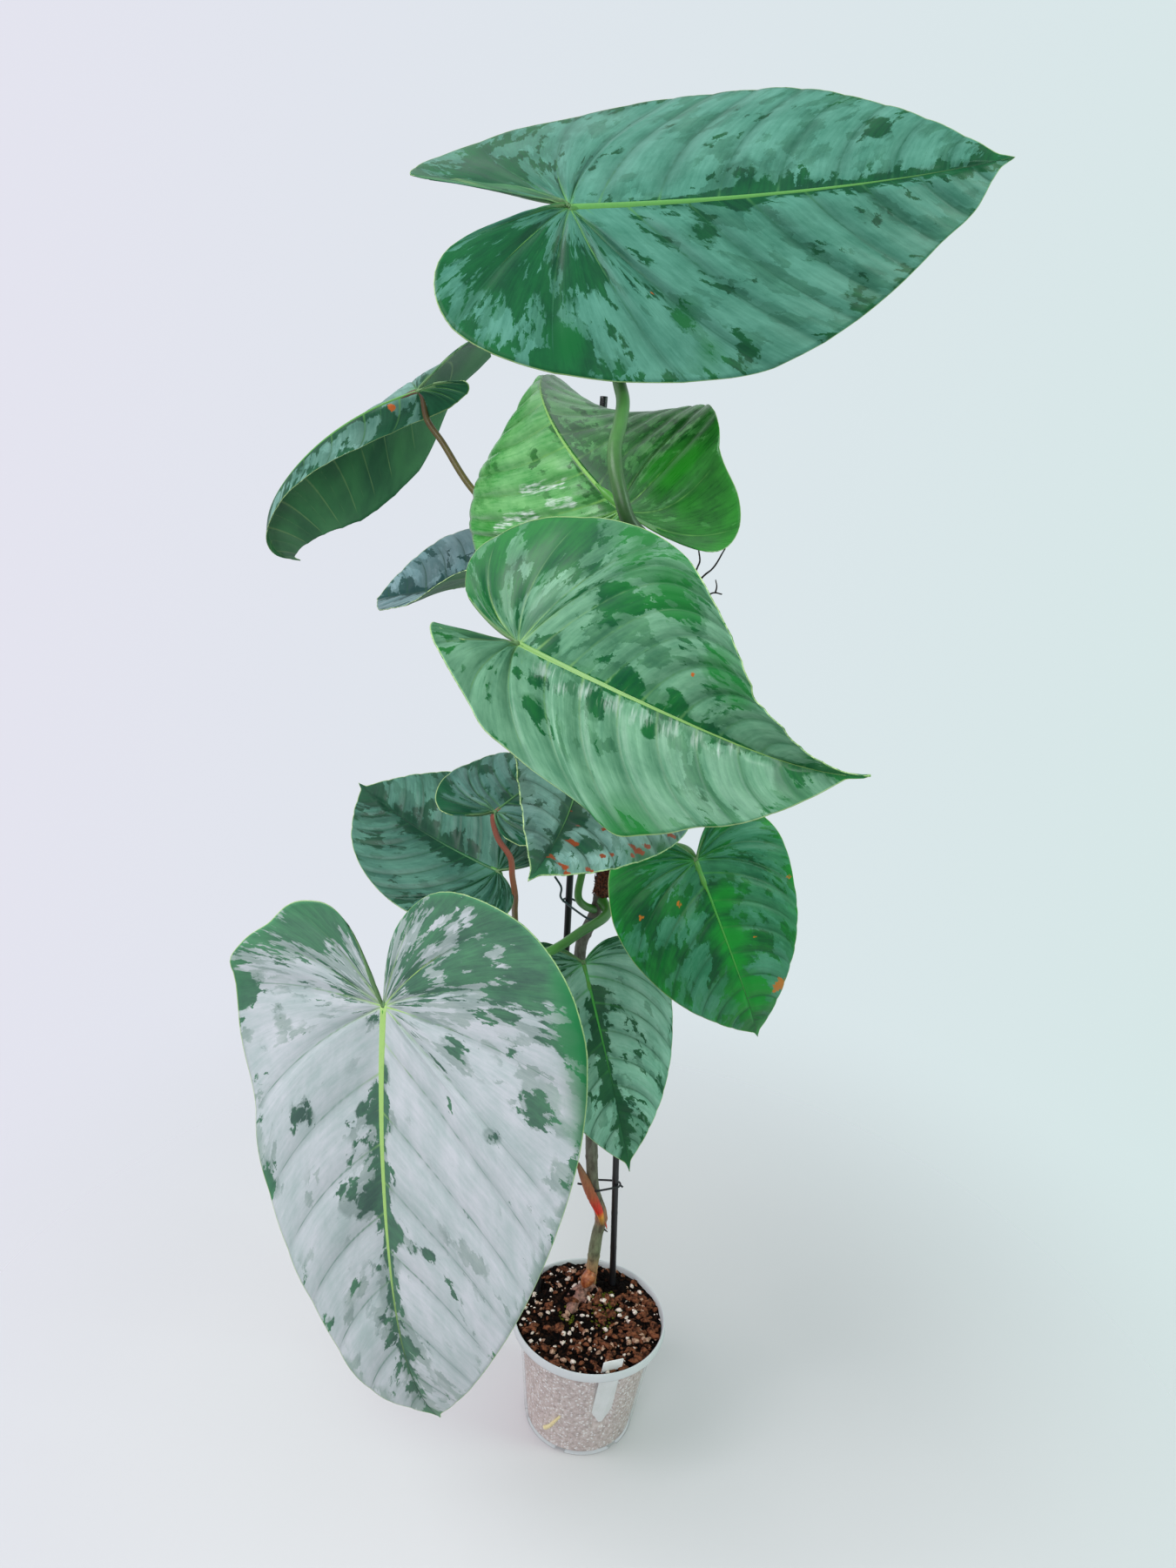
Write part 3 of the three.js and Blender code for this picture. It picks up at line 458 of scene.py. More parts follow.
@dataclass(frozen=True)
class LeafUpper(Finish):
    """Upper face of an aroid leaf.

    A waxy green cuticle over cells that hold air in patches: the patches look silver with torn edges along
    the side veins, and the green shows along the midrib and the margin.

    Attributes:
        name: The material's name.
        silver: The silver's light tone.
        silver_shade: Its dark tone.
        dark: The green's dark tone.
        bright: Its bright tone, near the margin.
        midrib: The midrib's colour at its base.
        roughness: The cuticle's middle roughness.
        rust: The rust spots' colour.
        margin: The pale margin's colour.
        vein_dark: The sunken side veins' colour.
        cell_mm: The patches' cells, across and along the side veins.
        haze: How much thinner the silver is in its thin patches.
        valley: How much painted shade darkens the valleys at the side veins.
        specular: The cuticle's specular level.
        extra: How much more of the leaf the full patches cover.
        film: How much silver stays on the green.
        glint_white: How white the painted highlights on the ridges are.
    """

    name: str
    silver: str
    silver_shade: str
    dark: str
    bright: str
    midrib: str
    roughness: float = 0.42
    rust: str = "a8561f"
    margin: str = "b9d48e"
    vein_dark: str = "1d4a33"
    cell_mm: Pair = (5.5, 13.0)
    haze: float = 0.4
    valley: float = 0.4
    specular: float = 0.3
    extra: float = 0.06
    film: float = 0.05
    glint_white: float = 0.45

    def layer(
        self, add: Adder, torn: Node, cover: NodeSocket, shift: float, share: float, ease: float,
        extra: float,
    ) -> Node:
        """One layer of patches.

        Args:
            add: Adds a node to the material.
            torn: The cells' coordinates.
            cover: How much of the blade is silver.
            shift: What sets this layer's draw apart.
            share: Its scale, as a share of the cells.
            ease: How soft the patches' edges are.
            extra: How much more it covers.

        Returns:
            A mask, 1 in the patches.
        """
        moved = add("VectorMath", {"operation": "ADD", 1: (shift, shift, shift)}, {0: torn})
        broad = add("TexNoise", {"Scale": share * 0.3, "Detail": 2.0, "Roughness": 0.5}, {"Vector": moved})
        level = add("MapRange", {"From Min": 0.3, "From Max": 0.7, "To Max": 0.36}, {"Value": broad})
        # Large cells and, on them, small ones: each cell draws how much cover it needs to be silver.
        for scale, channel, weight in ((0.7, "Red", 0.38), (1.7, "Green", 0.26)):
            cell = add("TexVoronoi", {"Scale": share * scale, "Randomness": 1.0}, {"Vector": moved})
            draw = add("SeparateColor", None, {0: cell.outputs["Color"]}).outputs[channel]
            level = add("Math", {"operation": "MULTIPLY_ADD", 1: weight}, {0: draw, 2: level})
        left = add("Math", {"operation": "SUBTRACT"}, {0: cover, 1: level})
        return add("MapRange", {"From Min": -ease - extra, "From Max": ease - extra}, {"Value": left})

    def paint(self, tree: NodeTree) -> Node:
        """Builds the patches, veins, margin and gloss."""
        add = partial(add_node, tree)
        grain, *marks = (
            add("Attribute", {"attribute_name": name}).outputs["Vector" if name == "grain" else "Fac"]
            for name in ("grain", "cover", "tone", "valley", "pale", "side_vein", "rust", "glint", "edge")
        )
        cover, tone, valley, pale, side_vein, rust, glint, edge = marks
        # Cells a few millimetres wide and longer along the veins, with torn borders.
        cells = add("VectorMath", {"operation": "DIVIDE", 1: (*self.cell_mm, 1.0)}, {0: grain})
        tear = add("TexNoise", {"Scale": 1.9, "Detail": 5.0, "Roughness": 0.7}, {"Vector": cells})
        tear = add("VectorMath", {"operation": "SUBTRACT", 1: (0.5, 0.5, 0.5)}, {0: tear.outputs["Color"]})
        tear = add("VectorMath", {"operation": "MULTIPLY", 1: (1.5, 1.3, 0.0)}, {0: tear})
        torn = add("VectorMath", {"operation": "ADD"}, {0: cells, 1: tear})
        full = self.layer(add, torn, cover, 0.0, 1.0, 0.022, self.extra)
        thick = self.layer(add, torn, cover, 31.0, 0.62, 0.05, 0.0)
        # Streaks between the side veins, one to two millimetres wide, and clouds of two to three centimetres.
        streak = grained(add, grain, (5 / 3, 20.0, 1.0), 5.0, 0.62)
        cloud = grained(add, grain, (20.0, 100 / 3, 1.0), 6.0, 0.65)
        drift = add("Math", {"operation": "MULTIPLY_ADD", 1: 1.6}, {0: cloud, 2: streak})
        green = add("Math", {"operation": "ADD"}, {0: drift, 1: tone})
        green = add("MapRange", {"From Min": 1.05, "From Max": 1.85}, {"Value": green})
        green = add("MixRGB", {"Color1": linear(self.dark), "Color2": linear(self.bright)}, {"Fac": green})
        silver = add("MapRange", {"From Min": 1.0, "From Max": 1.62}, {"Value": drift})
        tones = {"Color1": linear(self.silver_shade), "Color2": linear(self.silver)}
        silver = add("MixRGB", tones, {"Fac": silver})
        # Where green washes lie, the green shows through the silver, with a painted glow of light.
        flush = add("MapRange", {"From Min": 0.35, "From Max": 1.25, "To Max": 0.85}, {"Value": tone})
        silver = add("MixRGB", None, {"Fac": flush, "Color1": silver, "Color2": green})
        # The silver is thinner in its thin patches, and a film of it stays on the green ones.
        thin = add("MapRange", {"To Min": 1 - self.haze, "To Max": 1.0}, {"Value": thick})
        thin = add("Math", {"operation": "MULTIPLY"}, {0: thin, 1: full})
        thin = add("MapRange", {"To Min": self.film, "To Max": 1.0}, {"Value": thin})
        colour = add("MixRGB", None, {"Fac": thin, "Color1": green, "Color2": silver})
        # Painted shade: the blade is painted darker green in the valleys along the side veins.
        valley = add("Math", {"operation": "MULTIPLY", 1: self.valley}, {0: valley})
        colour = add("MixRGB", {"Color2": linear(self.dark)}, {"Fac": valley, "Color1": colour})
        # Side veins: sunken and dark, and pale where they leave the midrib.
        tones = {"Color1": linear(self.vein_dark), "Color2": linear(self.midrib)}
        vein = add("MixRGB", tones, {"Fac": pale})
        # A value that falls is mapped from the high end of its range to the low one.
        line = add("MapRange", {"From Min": 1.1, "From Max": 0.15}, {"Value": side_vein})
        drawn = {"From Min": 0.35, "From Max": 0.6, "To Min": 0.25, "To Max": 0.8}
        broken = add("MapRange", drawn, {"Value": cloud})
        line = add("Math", {"operation": "MULTIPLY"}, {0: line, 1: broken})
        colour = add("MixRGB", None, {"Fac": line, "Color1": colour, "Color2": vein})
        ragged = add("TexNoise", {"Scale": 2.6, "Detail": 3.0}, {"Vector": cells})
        rust = add("Math", {"operation": "ADD"}, {0: rust, 1: ragged})
        rust = add("MapRange", {"From Min": 1.0, "From Max": 1.1}, {"Value": rust})
        # Painted highlights: whitish streaks on the ridges, where they would catch the light.
        glint_white = add("Math", {"operation": "MULTIPLY_ADD", 1: 0.42}, {0: glint, 2: streak})
        glint_white = add("MapRange", {"From Min": 0.74, "From Max": 0.98, "To Max": self.glint_white}, {"Value": glint_white})
        edge = add("MapRange", {"From Min": 0.8, "From Max": 0.3, "To Max": 0.6}, {"Value": edge})
        for mask, tint in ((rust, self.rust), (glint_white, "dfe5e2"), (edge, self.margin)):
            colour = add("MixRGB", {"Color2": linear(tint)}, {"Fac": mask, "Color1": colour})
        # The cuticle puckers over veinlets about a millimetre apart.
        fine = add("TexNoise", {"Scale": 1 / (1.1 * MM), "Detail": 2.0})
        height = add("Math", {"operation": "MULTIPLY_ADD", 1: 0.12}, {0: fine, 2: streak})
        levels = {"To Min": self.roughness - 0.06, "To Max": self.roughness + 0.12}
        gloss = add("MapRange", levels, {"Value": streak})
        shader = skin(add, colour, height, 0.05, 0.7, {"IOR": 1.42, "Specular IOR Level": self.specular})
        tree.links.new(gloss.outputs[0], shader.inputs["Roughness"])
        return shader


@dataclass(frozen=True)
class LeafUnder(Finish):
    """Lower face of the leaf: a duller, even green with raised paler veins."""

    name: str
    green: str
    shade: str
    vein: str = "7d9a62"

    def paint(self, tree: NodeTree) -> Node:
        """Builds the clouded green and the veins."""
        add = partial(add_node, tree)
        grain = add("Attribute", {"attribute_name": "grain"}).outputs["Vector"]
        cloud = grained(add, grain, (20.0, 40.0, 1.0), 4.0)
        cloud = add("MapRange", {"From Min": 0.35, "From Max": 0.65}, {"Value": cloud})
        colour = add("MixRGB", {"Color1": linear(self.shade), "Color2": linear(self.green)}, {"Fac": cloud})
        side_vein, midrib = (
            add("Attribute", {"attribute_name": name}).outputs["Fac"] for name in ("side_vein", "midrib")
        )
        line = add("Math", {"operation": "MINIMUM"}, {0: side_vein, 1: midrib})
        line = add("MapRange", {"From Min": 1.3, "From Max": 0.4, "To Max": 0.5}, {"Value": line})
        colour = add("MixRGB", {"Color2": linear(self.vein)}, {"Fac": line, "Color1": colour})
        # Veinlets between one and two millimetres apart.
        fine = add("TexNoise", {"Scale": 1 / (1.4 * MM), "Detail": 3.0})
        return skin(add, colour, fine, 0.25, 0.5, {"Roughness": 0.55, "IOR": 1.4})


@dataclass(frozen=True)
class Stalk(Finish):
    """Leaf stalk: a smooth fleshy skin with fine specks, two colours from foot to blade."""

    name: str
    foot: str
    head: str
    turn: Pair = (0.0, 1.0)
    along: str = "run"
    speck_mm: float = 4.2
    detail: float = 4.0
    drift: float = 0.35
    relief_mm: float = 0.4
    roughness: float = 0.38

    def paint(self, tree: NodeTree) -> Node:
        """Builds the run of colour and the specks."""
        add = partial(add_node, tree)
        run = add("Attribute", {"attribute_name": self.along}).outputs["Fac"]
        run = add("MapRange", {"From Min": self.turn[0], "From Max": self.turn[1]}, {"Value": run})
        place = add("TexCoord").outputs["Object"]
        scale = 1 / (self.speck_mm * MM)
        specks = add("TexNoise", {"Scale": scale, "Detail": self.detail}, {"Vector": place})
        shift = add("Math", {"operation": "MULTIPLY_ADD", 1: self.drift, 2: -self.drift / 2}, {0: specks})
        both = add("Math", {"operation": "ADD", "use_clamp": True}, {0: run, 1: shift})
        colour = add("MixRGB", {"Color1": linear(self.foot), "Color2": linear(self.head)}, {"Fac": both})
        return skin(add, colour, specks, 0.2, self.relief_mm, {"Roughness": self.roughness, "IOR": 1.42})


@dataclass(frozen=True)
class Midrib(Stalk):
    """Midrib: a smooth fleshy rib, pale yellow-green at its base, which darkens to the blade's green."""

    along: str = "fade"
    speck_mm: float = 3.1
    detail: float = 3.0
    drift: float = 0.3
    relief_mm: float = 0.3
    roughness: float = 0.4


@dataclass(frozen=True)
class Clouded(Finish):
    """A matte or satin surface whose colour drifts between two tones at a real grain size."""

    name: str
    light: str
    shade: str
    grain_mm: float
    roughness: float
    bump_mm: float = 0.2
    stretch: Point = (1.0, 1.0, 1.0)
    low: float = 0.35
    high: float = 0.65
    ior: float = 1.5
    specular: float = 0.5

    def paint(self, tree: NodeTree) -> Node:
        """Builds the drift of tone and the grain."""
        add = partial(add_node, tree)
        size = tuple(self.grain_mm * MM * longer for longer in self.stretch)
        noise = grained(add, add("TexCoord").outputs["Object"], size, 5.0, 0.6)
        mix = add("MapRange", {"From Min": self.low, "From Max": self.high}, {"Value": noise})
        colour = add("MixRGB", {"Color1": linear(self.shade), "Color2": linear(self.light)}, {"Fac": mix})
        settings = {"Roughness": self.roughness, "IOR": self.ior, "Specular IOR Level": self.specular}
        return skin(add, colour, noise, 0.6, self.bump_mm, settings)


@dataclass(frozen=True)
class StemBark(Finish):
    """Climbing stem: a green-brown skin that dries to grey bark, with a tan and orange foot in the mix."""

    name: str = "stem_skin"

    def paint(self, tree: NodeTree) -> Node:
        """Builds the tones by height, and blotches with their relief."""
        add = partial(add_node, tree)
        place = add("TexCoord").outputs["Object"]
        height = add("SeparateXYZ", None, {0: place}).outputs["Z"]
        level = add("MapRange", {"From Min": 0.1, "From Max": 0.79}, {"Value": height})
        ramp = add("ValToRGB", None, {0: level})
        set_tones(ramp, (
            (0.0, "a5613a"), (0.05, "b98a5e"), (0.08, "7d8463"), (0.125, "75795d"), (0.14, "a06a4c"),
            (0.17, "6f6f58"), (0.32, "64645a"), (0.55, "77766c"), (0.6, "5d5a50"), (0.75, "5c6440"),
            (1.0, "4b6a34"),
        ))
        blotch = grained(add, place, (4.8 * MM, 4.8 * MM, 13.7 * MM), 6.0, 0.65)
        dark = add("MapRange", {"From Min": 0.6, "From Max": 0.38, "To Max": 0.75}, {"Value": blotch})
        colour = add("MixRGB", {"Color2": linear("3a2c22")}, {"Fac": dark, "Color1": ramp})
        return skin(add, colour, blotch, 0.7, 0.6, {"Roughness": 0.6, "IOR": 1.45})


@dataclass(frozen=True)
class DrySheath(Finish):
    """Old leaf sheath: thin dried tissue, orange-brown above, bright red and then yellow at its lower end."""

    name: str = "dry_sheath_tissue"

    def paint(self, tree: NodeTree) -> Node:
        """Builds the colours along the sheath and its fibres."""
        add = partial(add_node, tree)
        ramp = add("ValToRGB", None, {0: add("Attribute", {"attribute_name": "run"}).outputs["Fac"]})
        set_tones(ramp, (
            (0.0, "6c4a34"), (0.2, "94603f"), (0.5, "a9532f"), (0.66, "c8321c"), (0.78, "e0240f"),
            (0.86, "d8902a"), (1.0, "7c6a3e"),
        ))
        fibre = grained(add, add("TexCoord").outputs["Object"], (1.4 * MM, 1.4 * MM, 7 * MM), 3.0)
        shade = add("MapRange", {"From Min": 0.6, "From Max": 0.35, "To Max": 0.4}, {"Value": fibre})
        colour = add("MixRGB", {"Color2": linear("5a2c18")}, {"Fac": shade, "Color1": ramp})
        return skin(add, colour, fibre, 0.5, 0.4, {"Roughness": 0.45, "IOR": 1.45})


@dataclass(frozen=True)
class MilkyWall(Finish):
    """Moulded nursery pot: thin milky polypropylene, which veils the mix and is denser at the rim."""

    name: str = "milky_polypropylene"
    veil: float = 0.2
    rim: float = 0.86
    rim_from: float = 0.1075
    rim_ease: float = 0.0012

    def paint(self, tree: NodeTree) -> Node:
        """Builds the cloudy tone and the density by height."""
        add = partial(add_node, tree)
        place = add("TexCoord").outputs["Object"]
        height = add("SeparateXYZ", None, {0: place}).outputs["Z"]
        heights = {"From Min": self.rim_from, "From Max": self.rim_from + self.rim_ease}
        dense = add("MapRange", {**heights, "To Min": self.veil, "To Max": self.rim}, {"Value": height})
        cloud = add("TexNoise", {"Scale": 1 / (33 * MM), "Detail": 3.0}, {"Vector": place})
        colour = add("MixRGB", {"Color1": linear("c9cdcd"), "Color2": linear("d9dbdb")}, {"Fac": cloud})
        return add("BsdfPrincipled", {"Roughness": 0.34, "IOR": 1.49}, {"Base Color": colour, "Alpha": dense})


@dataclass(frozen=True)
class WallMix(Finish):
    """The mix pressed against the pot's wall: damp pinkish brown grains with white perlite flecks."""

    name: str = "mix_at_wall"
    grain_mm: float = 3.8
    fleck_mm: float = 2.6

    def paint(self, tree: NodeTree) -> Node:
        """Builds the grains and flecks."""
        add = partial(add_node, tree)
        place = add("TexCoord").outputs["Object"]
        grain = grained(add, place, (self.grain_mm * MM,) * 3, 5.0, 0.7)
        base = add("MapRange", {"From Min": 0.36, "From Max": 0.64}, {"Value": grain})
        base = add("MixRGB", {"Color1": linear("9a7b70"), "Color2": linear("e6cfc4")}, {"Fac": base})
        # Under half of the cells draw a fleck, which fills the middle of its cell.
        fleck = add("TexVoronoi", {"Scale": 1 / (self.fleck_mm * MM), "Randomness": 1.0}, {"Vector": place})
        drawn = add("SeparateColor", None, {0: fleck.outputs["Color"]})
        chosen = add("Math", {"operation": "GREATER_THAN", 1: 0.56}, {0: drawn})
        near = add("MapRange", {"From Min": 0.5, "From Max": 0.25}, {"Value": fleck})
        mask = add("Math", {"operation": "MULTIPLY"}, {0: chosen, 1: near})
        colour = add("MixRGB", {"Color2": linear("fff8f4")}, {"Fac": mask, "Color1": base})
        return skin(add, colour, grain, 0.6, 0.8, {"Roughness": 0.9})


# Label stock: smooth white polystyrene.
LABEL_PLASTIC = Clouded("white_polystyrene", "f4f4f2", "e6e6e2", 12.0, 0.35, 0.03, ior=1.55)
# Garden stake: steel tube in black polyethylene, with a soft gloss and fine scuffs.
STAKE_PLASTIC = Clouded("black_polyethylene", "1c1c1f", "0b0b0d", 2.5, 0.36, 0.08, (1.0, 1.0, 8.3))
# Lower tie: thin annealed wire in black enamel.
BLACK_WIRE = Clouded("black_enamelled_wire", "17181b", "0a0a0c", 1.5, 0.4, 0.05)
# Upper tie: twist wire in dark blue-green plastic.
GREEN_WIRE = Clouded("green_twist_wire", "2b4f50", "17302f", 1.5, 0.42, 0.05)
# Fibres of old sheaths: brittle red-brown threads.
FIBRE = Clouded("sheath_fibre", "7a3f22", "321710", 2.0, 0.8, 0.3, low=0.4, high=0.6)
# Aerial roots: dry, nearly black skin.
ROOT_SKIN = Clouded("aerial_root_skin", "33261d", "15100d", 2.0, 0.6, 0.15)
# Crown roots in the mix: pinkish tan cork.
CROWN_SKIN = Clouded("crown_root_cork", "9a6c5c", "3c2018", 3.5, 0.6, 0.5)
# Crown bulb: glossy orange-brown bud scale.
BUD_SKIN = Clouded("bud_scale", "b87040", "7a3818", 4.0, 0.4, 0.2)
# Potting mix: damp black-brown compost between the chips.
COMPOST = Clouded("damp_compost", "2e1a10", "030101", 3.2, 0.95, 1.6, low=0.48, high=0.66, specular=0.08)
# Bark chips: red-brown pine bark, flaky on its faces, and paler chips that have weathered.
BARK = Clouded("pine_bark", "7c4930", "2c140a", 3.5, 0.85, 0.6, low=0.4, high=0.6, specular=0.15)
PALE_BARK = Clouded("weathered_bark", "c6a088", "6c4a38", 3.0, 0.9, 0.5, specular=0.2)
# Perlite: white volcanic foam with tiny pits.
PERLITE = Clouded("perlite", "f4e6da", "b49c8c", 1.4, 0.9, 0.4, specular=0.2)
# Charcoal: black lumps with hardly any gloss.
CHARCOAL = Clouded("horticultural_charcoal", "120b08", "020101", 2.0, 0.9, 0.5, specular=0.06)
# Root against the pot's wall: pale yellow and smooth.
WALL_ROOT = Clouded("pale_root", "f0e2a0", "d8c078", 5.0, 0.6, 0.2)
# Moss: an olive felt on the mix.
MOSS = Clouded("olive_moss", "5c6216", "20240a", 1.4, 0.95, 0.9, specular=0.1)


def row(start: Pair, end: Pair, radius: float) -> tuple[Point, ...]:
    """Marks of one radius in a row between two flat points."""
    count = max(2, math.ceil(math.dist(start, end) / (0.7 * radius)))
    return tuple((*at, radius) for at in np.linspace(start, end, count))


@dataclass(frozen=True)
class LeafLook:
    """A leaf's colours and marks, in millimetres. A mark is (across, along, radius) on the flat blade.

    Attributes:
        upper: The finish of its upper face.
        under: The finish of its lower face.
        stalk: The finish of its stalk.
        silver: How much of the blade is silver: about 0.5 for half and 0.9 for all of it.
        lean: How much more silver the right half is than the left.
        lobe_green: How much less silver the lobes are.
        rim_green: How much less silver the margin is.
        feather: How far the green reaches from the midrib.
        pucker: How far the blade swells between side veins.
        veins: Side veins of each half beyond the lobes.
        sweep: How steeply the side veins run towards the tip on the left and right half.
        bow: How far the side veins of each half bow, as a share of their length.
        rust: Rust spots.
        flush: Bright green washes, partly a painted glow of light through the thin blade.
        dark: Dark patches of their own.
        glints: Painted highlights: whitish streaks over the ridges.
        silver_and_light: Marks nearly all silver, which also paint light on parts turned from the lamps.
        swells: Swells and dents of the margin as (half, margin share, outward, width as a share).
        rib_half: The midrib's half width at its base.
        pale_mm: How far from the base the side veins stay pale.
        fade: The share of the midrib where its pale colour ends.
    """

    upper: LeafUpper
    under: LeafUnder
    stalk: Stalk
    silver: float = 0.75
    lean: float = 0.0
    lobe_green: float = 0.2
    rim_green: float = 0.2
    feather: float = 7.0
    pucker: float = 2.0
    veins: int = 7
    sweep: Pair = (0.85, 0.75)
    bow: Pair = (0.13, 0.1)
    rust: Sequence[Point] = ()
    flush: Sequence[Point] = ()
    dark: Sequence[Point] = ()
    glints: Sequence[Point] = ()
    silver_and_light: Sequence[Point] = ()
    swells: Sequence[tuple[int, float, float, float]] = ()
    rib_half: float = 1.5
    pale_mm: float = 34.0
    fade: float = 0.8

    def fading(self, along: Array) -> Array:
        """How far the midrib's pale colour has gone, for shares of the blade's length."""
        return smooth(self.fade - 0.35, self.fade + 0.1, along)


@dataclass(frozen=True)
class Leaf:
    """A leaf: its blade's size and bends, as in the part's source, its stalk and its look, in millimetres.

    Attributes:
        name: The leaf's CAD node.
        base: Where the midrib starts, in the part's frame.
        heading: The blade's turn about the upright axis, in degrees, as are all bends below.
        pitch: How far its tip is raised.
        roll: How far it is turned about the midrib.
        length: The midrib's length.
        half: The greatest half width on the left and the right.
        lobe: How far each lobe reaches behind the base.
        widest: How far along the blade is widest.
        full: How full each half is towards the tip.
        sinus: How far each lobe's inner edge starts out from the midrib.
        bend: How far the midrib turns down over its length.
        tip_bend: How far it turns down more near the tip.
        lobe_bend: How far the lobes turn.
        fold: How far each half folds up from the midrib.
        curl: How far each half curls towards its margin.
        sway: How far the midrib turns sideways.
        twist: How far the blade twists along it.
        wave: The margin's waves: height and count.
        stalk: The stalk's radius.
        route: The points that it runs through.
        look: Its colours and marks.
        slot: Its material slot in the record.
        drip: The length of the drip tip.
        seed: The draw of its puckers and patches.
    """

    name: str
    base: Point
    heading: float
    pitch: float
    roll: float
    length: float
    half: Pair
    lobe: Pair
    widest: float
    full: Pair
    sinus: Pair
    bend: float
    tip_bend: float
    lobe_bend: float
    fold: Pair
    curl: Pair
    sway: float
    twist: float
    wave: Pair
    stalk: float
    route: tuple[Point, ...]
    look: LeafLook
    slot: str
    drip: float = 7.0
    seed: int = 0

    def margin(self, side: int, share: Array) -> Array:
        """The margin of one half with its swells and dents, in flat millimetres."""
        plain = self.plain_margin(side, share)
        ahead, behind = (self.plain_margin(side, np.clip(share + step, 0, 1)) for step in (0.004, -0.004))
        ahead = unit_rows(ahead - behind)
        swell = np.zeros(share.shape)
        for half, at, reach, width in self.look.swells:
            if half == side:
                swell = swell + reach * bell(share, at, width)
        moved = plain + np.stack([ahead[:, 1], -ahead[:, 0]], 1) * (swell * (share < 1))[:, None]
        # The swells never carry the margin over the midrib.
        nearest = 0.3
        across = np.where(plain[:, 0] > nearest, np.maximum(moved[:, 0], nearest), plain[:, 0])
        return np.stack([across, moved[:, 1]], 1)

    def plain_margin(self, side: int, share: Array) -> Array:
        """The flat margin of one half, as in the part's source.

        Args:
            side: 0 for the left half and 1 for the right.
            share: Shares of the margin's run, from the sinus to the tip.

        Returns:
            Across and along for each share.
        """
        half, lobe, full, sinus = self.half[side], self.lobe[side], self.full[side], self.sinus[side]
        length, widest = self.length, self.widest
        spans = (
            ((0, 0), (sinus, -0.45 * lobe), (0.1 * half + 0.8 * sinus, -lobe), (0.46 * half, -lobe)),
            ((0.46 * half, -lobe), (0.8 * half, -lobe),
             (half, widest - 0.55 * (lobe + widest)), (half, widest)),
            ((half, widest), (half, widest + 0.5 * (length - widest) * full),
             (0.42 * half * full, 0.84 * length), (0, length)),
        )
        ends = (0.0, INNER_SHARE, OUTER_SHARE, 1.0)
        result = np.zeros(share.shape + (2,))
        for span, low, high in zip(spans, ends, ends[1:]):
            t = np.clip((share - low) / (high - low), 0, 1)[:, None]
            u = 1 - t
            points = np.asarray(span, float)
            curve = u**3 * points[0] + 3 * t * u**2 * points[1] + 3 * t**2 * u * points[2] + t**3 * points[3]
            result = np.where((share >= low)[:, None], curve, result)
        return result

    def rib_start(self, side: int, share: Array) -> Array:
        """Where the side veins of one half leave the midrib, for the margin shares where they end."""
        end = self.margin(side, share)
        start = np.clip(end[:, 1] - self.look.sweep[side] * end[:, 0], 0, self.length)
        return np.maximum.accumulate(start)

    def rib(self, side: int, share: Array, across: Array) -> Array:
        """Flat points along the side veins.

        Args:
            side: 0 for the left half and 1 for the right.
            share: The margin shares where the veins end, in rising order.
            across: Shares of the way from the midrib to the margin.

        Returns:
            Across and along in millimetres, for each vein and each share of the way.
        """
        end = self.margin(side, share)
        drip = self.drip * smooth(DRIP_START, 1.0, share) ** 2
        start = self.rib_start(side, share) + 0.5 * drip
        reach = end[:, 1] + drip
        start = np.where(share >= 1, reach, start)[:, None]
        dx, dy = end[:, 0][:, None], reach[:, None] - start
        a = across[None, :]
        bow = self.look.bow[side] * 4 * a * (1 - a) * np.minimum(1, share / 0.25)[:, None]
        return np.stack([dx * a + bow * dy, start + dy * a - bow * dx], -1)

    def droop(self, along: Array) -> Array:
        """How far the midrib has turned down, in radians."""
        forward = math.radians(self.bend) * along
        forward = forward + 2 * math.radians(self.tip_bend) * np.maximum(0, along - TIP_START) ** 2
        return np.where(along > 0, forward, math.radians(self.lobe_bend) * along)

    def placed(self, side: int, flat: Array, share: Array, lift: Array) -> Array:
        """Bends flat points and puts them in the part's frame.

        Args:
            side: 0 for the left half and 1 for the right.
            flat: Across and along, in millimetres.
            share: The margin share of each point.
            lift: How far each point stands above the plain blade, in millimetres.

        Returns:
            The points, in millimetres.
        """
        sign = (-1, 1)[side]
        along, off = flat[..., 1] / self.length, np.abs(flat[..., 0]) / self.length
        centre = np.zeros(flat.shape[:-1] + (3,))
        for i in range(BEND_STEPS):
            v = along * (i + 0.5) / BEND_STEPS
            droop, sway = self.droop(v), math.radians(self.sway) * v
            turn = np.stack([np.cos(droop) * np.sin(sway), np.cos(droop) * np.cos(sway), -np.sin(droop)], -1)
            centre += turn * (along / BEND_STEPS)[..., None]
        fold, curl = math.radians(self.fold[side]), math.radians(self.curl[side]) or 1e-4
        flat_part, rise_part = np.sin(curl * off) / curl, (1 - np.cos(curl * off)) / curl
        edge = np.minimum(1, np.abs(flat[..., 0]) / self.half[side])
        wave = self.wave[0] / self.length * edge**2 * np.sin(FULL_TURN * self.wave[1] * share)
        across = (flat_part * math.cos(fold) - rise_part * math.sin(fold)) * sign
        rise = flat_part * math.sin(fold) + rise_part * math.cos(fold) + wave + lift / self.length
        twist = math.radians(self.twist) * along
        across, rise = (
            across * np.cos(twist) + rise * np.sin(twist),
            rise * np.cos(twist) - across * np.sin(twist),
        )
        droop, sway = self.droop(along), math.radians(self.sway) * along
        local = centre + np.stack([
            across * np.cos(sway) + rise * np.sin(droop) * np.sin(sway),
            -across * np.sin(sway) + rise * np.sin(droop) * np.cos(sway),
            rise * np.cos(droop),
        ], -1)
        return local * self.length @ np.array(self.turn().to_3x3()).T + np.asarray(self.base, float)

    def turn(self) -> Matrix:
        """The blade's heading, pitch and roll."""
        turns = ((self.heading, "Z"), (self.pitch, "X"), (self.roll, "Y"))
        heading, pitch, roll = (Matrix.Rotation(math.radians(angle), 4, axis) for angle, axis in turns)
        return heading @ pitch @ roll

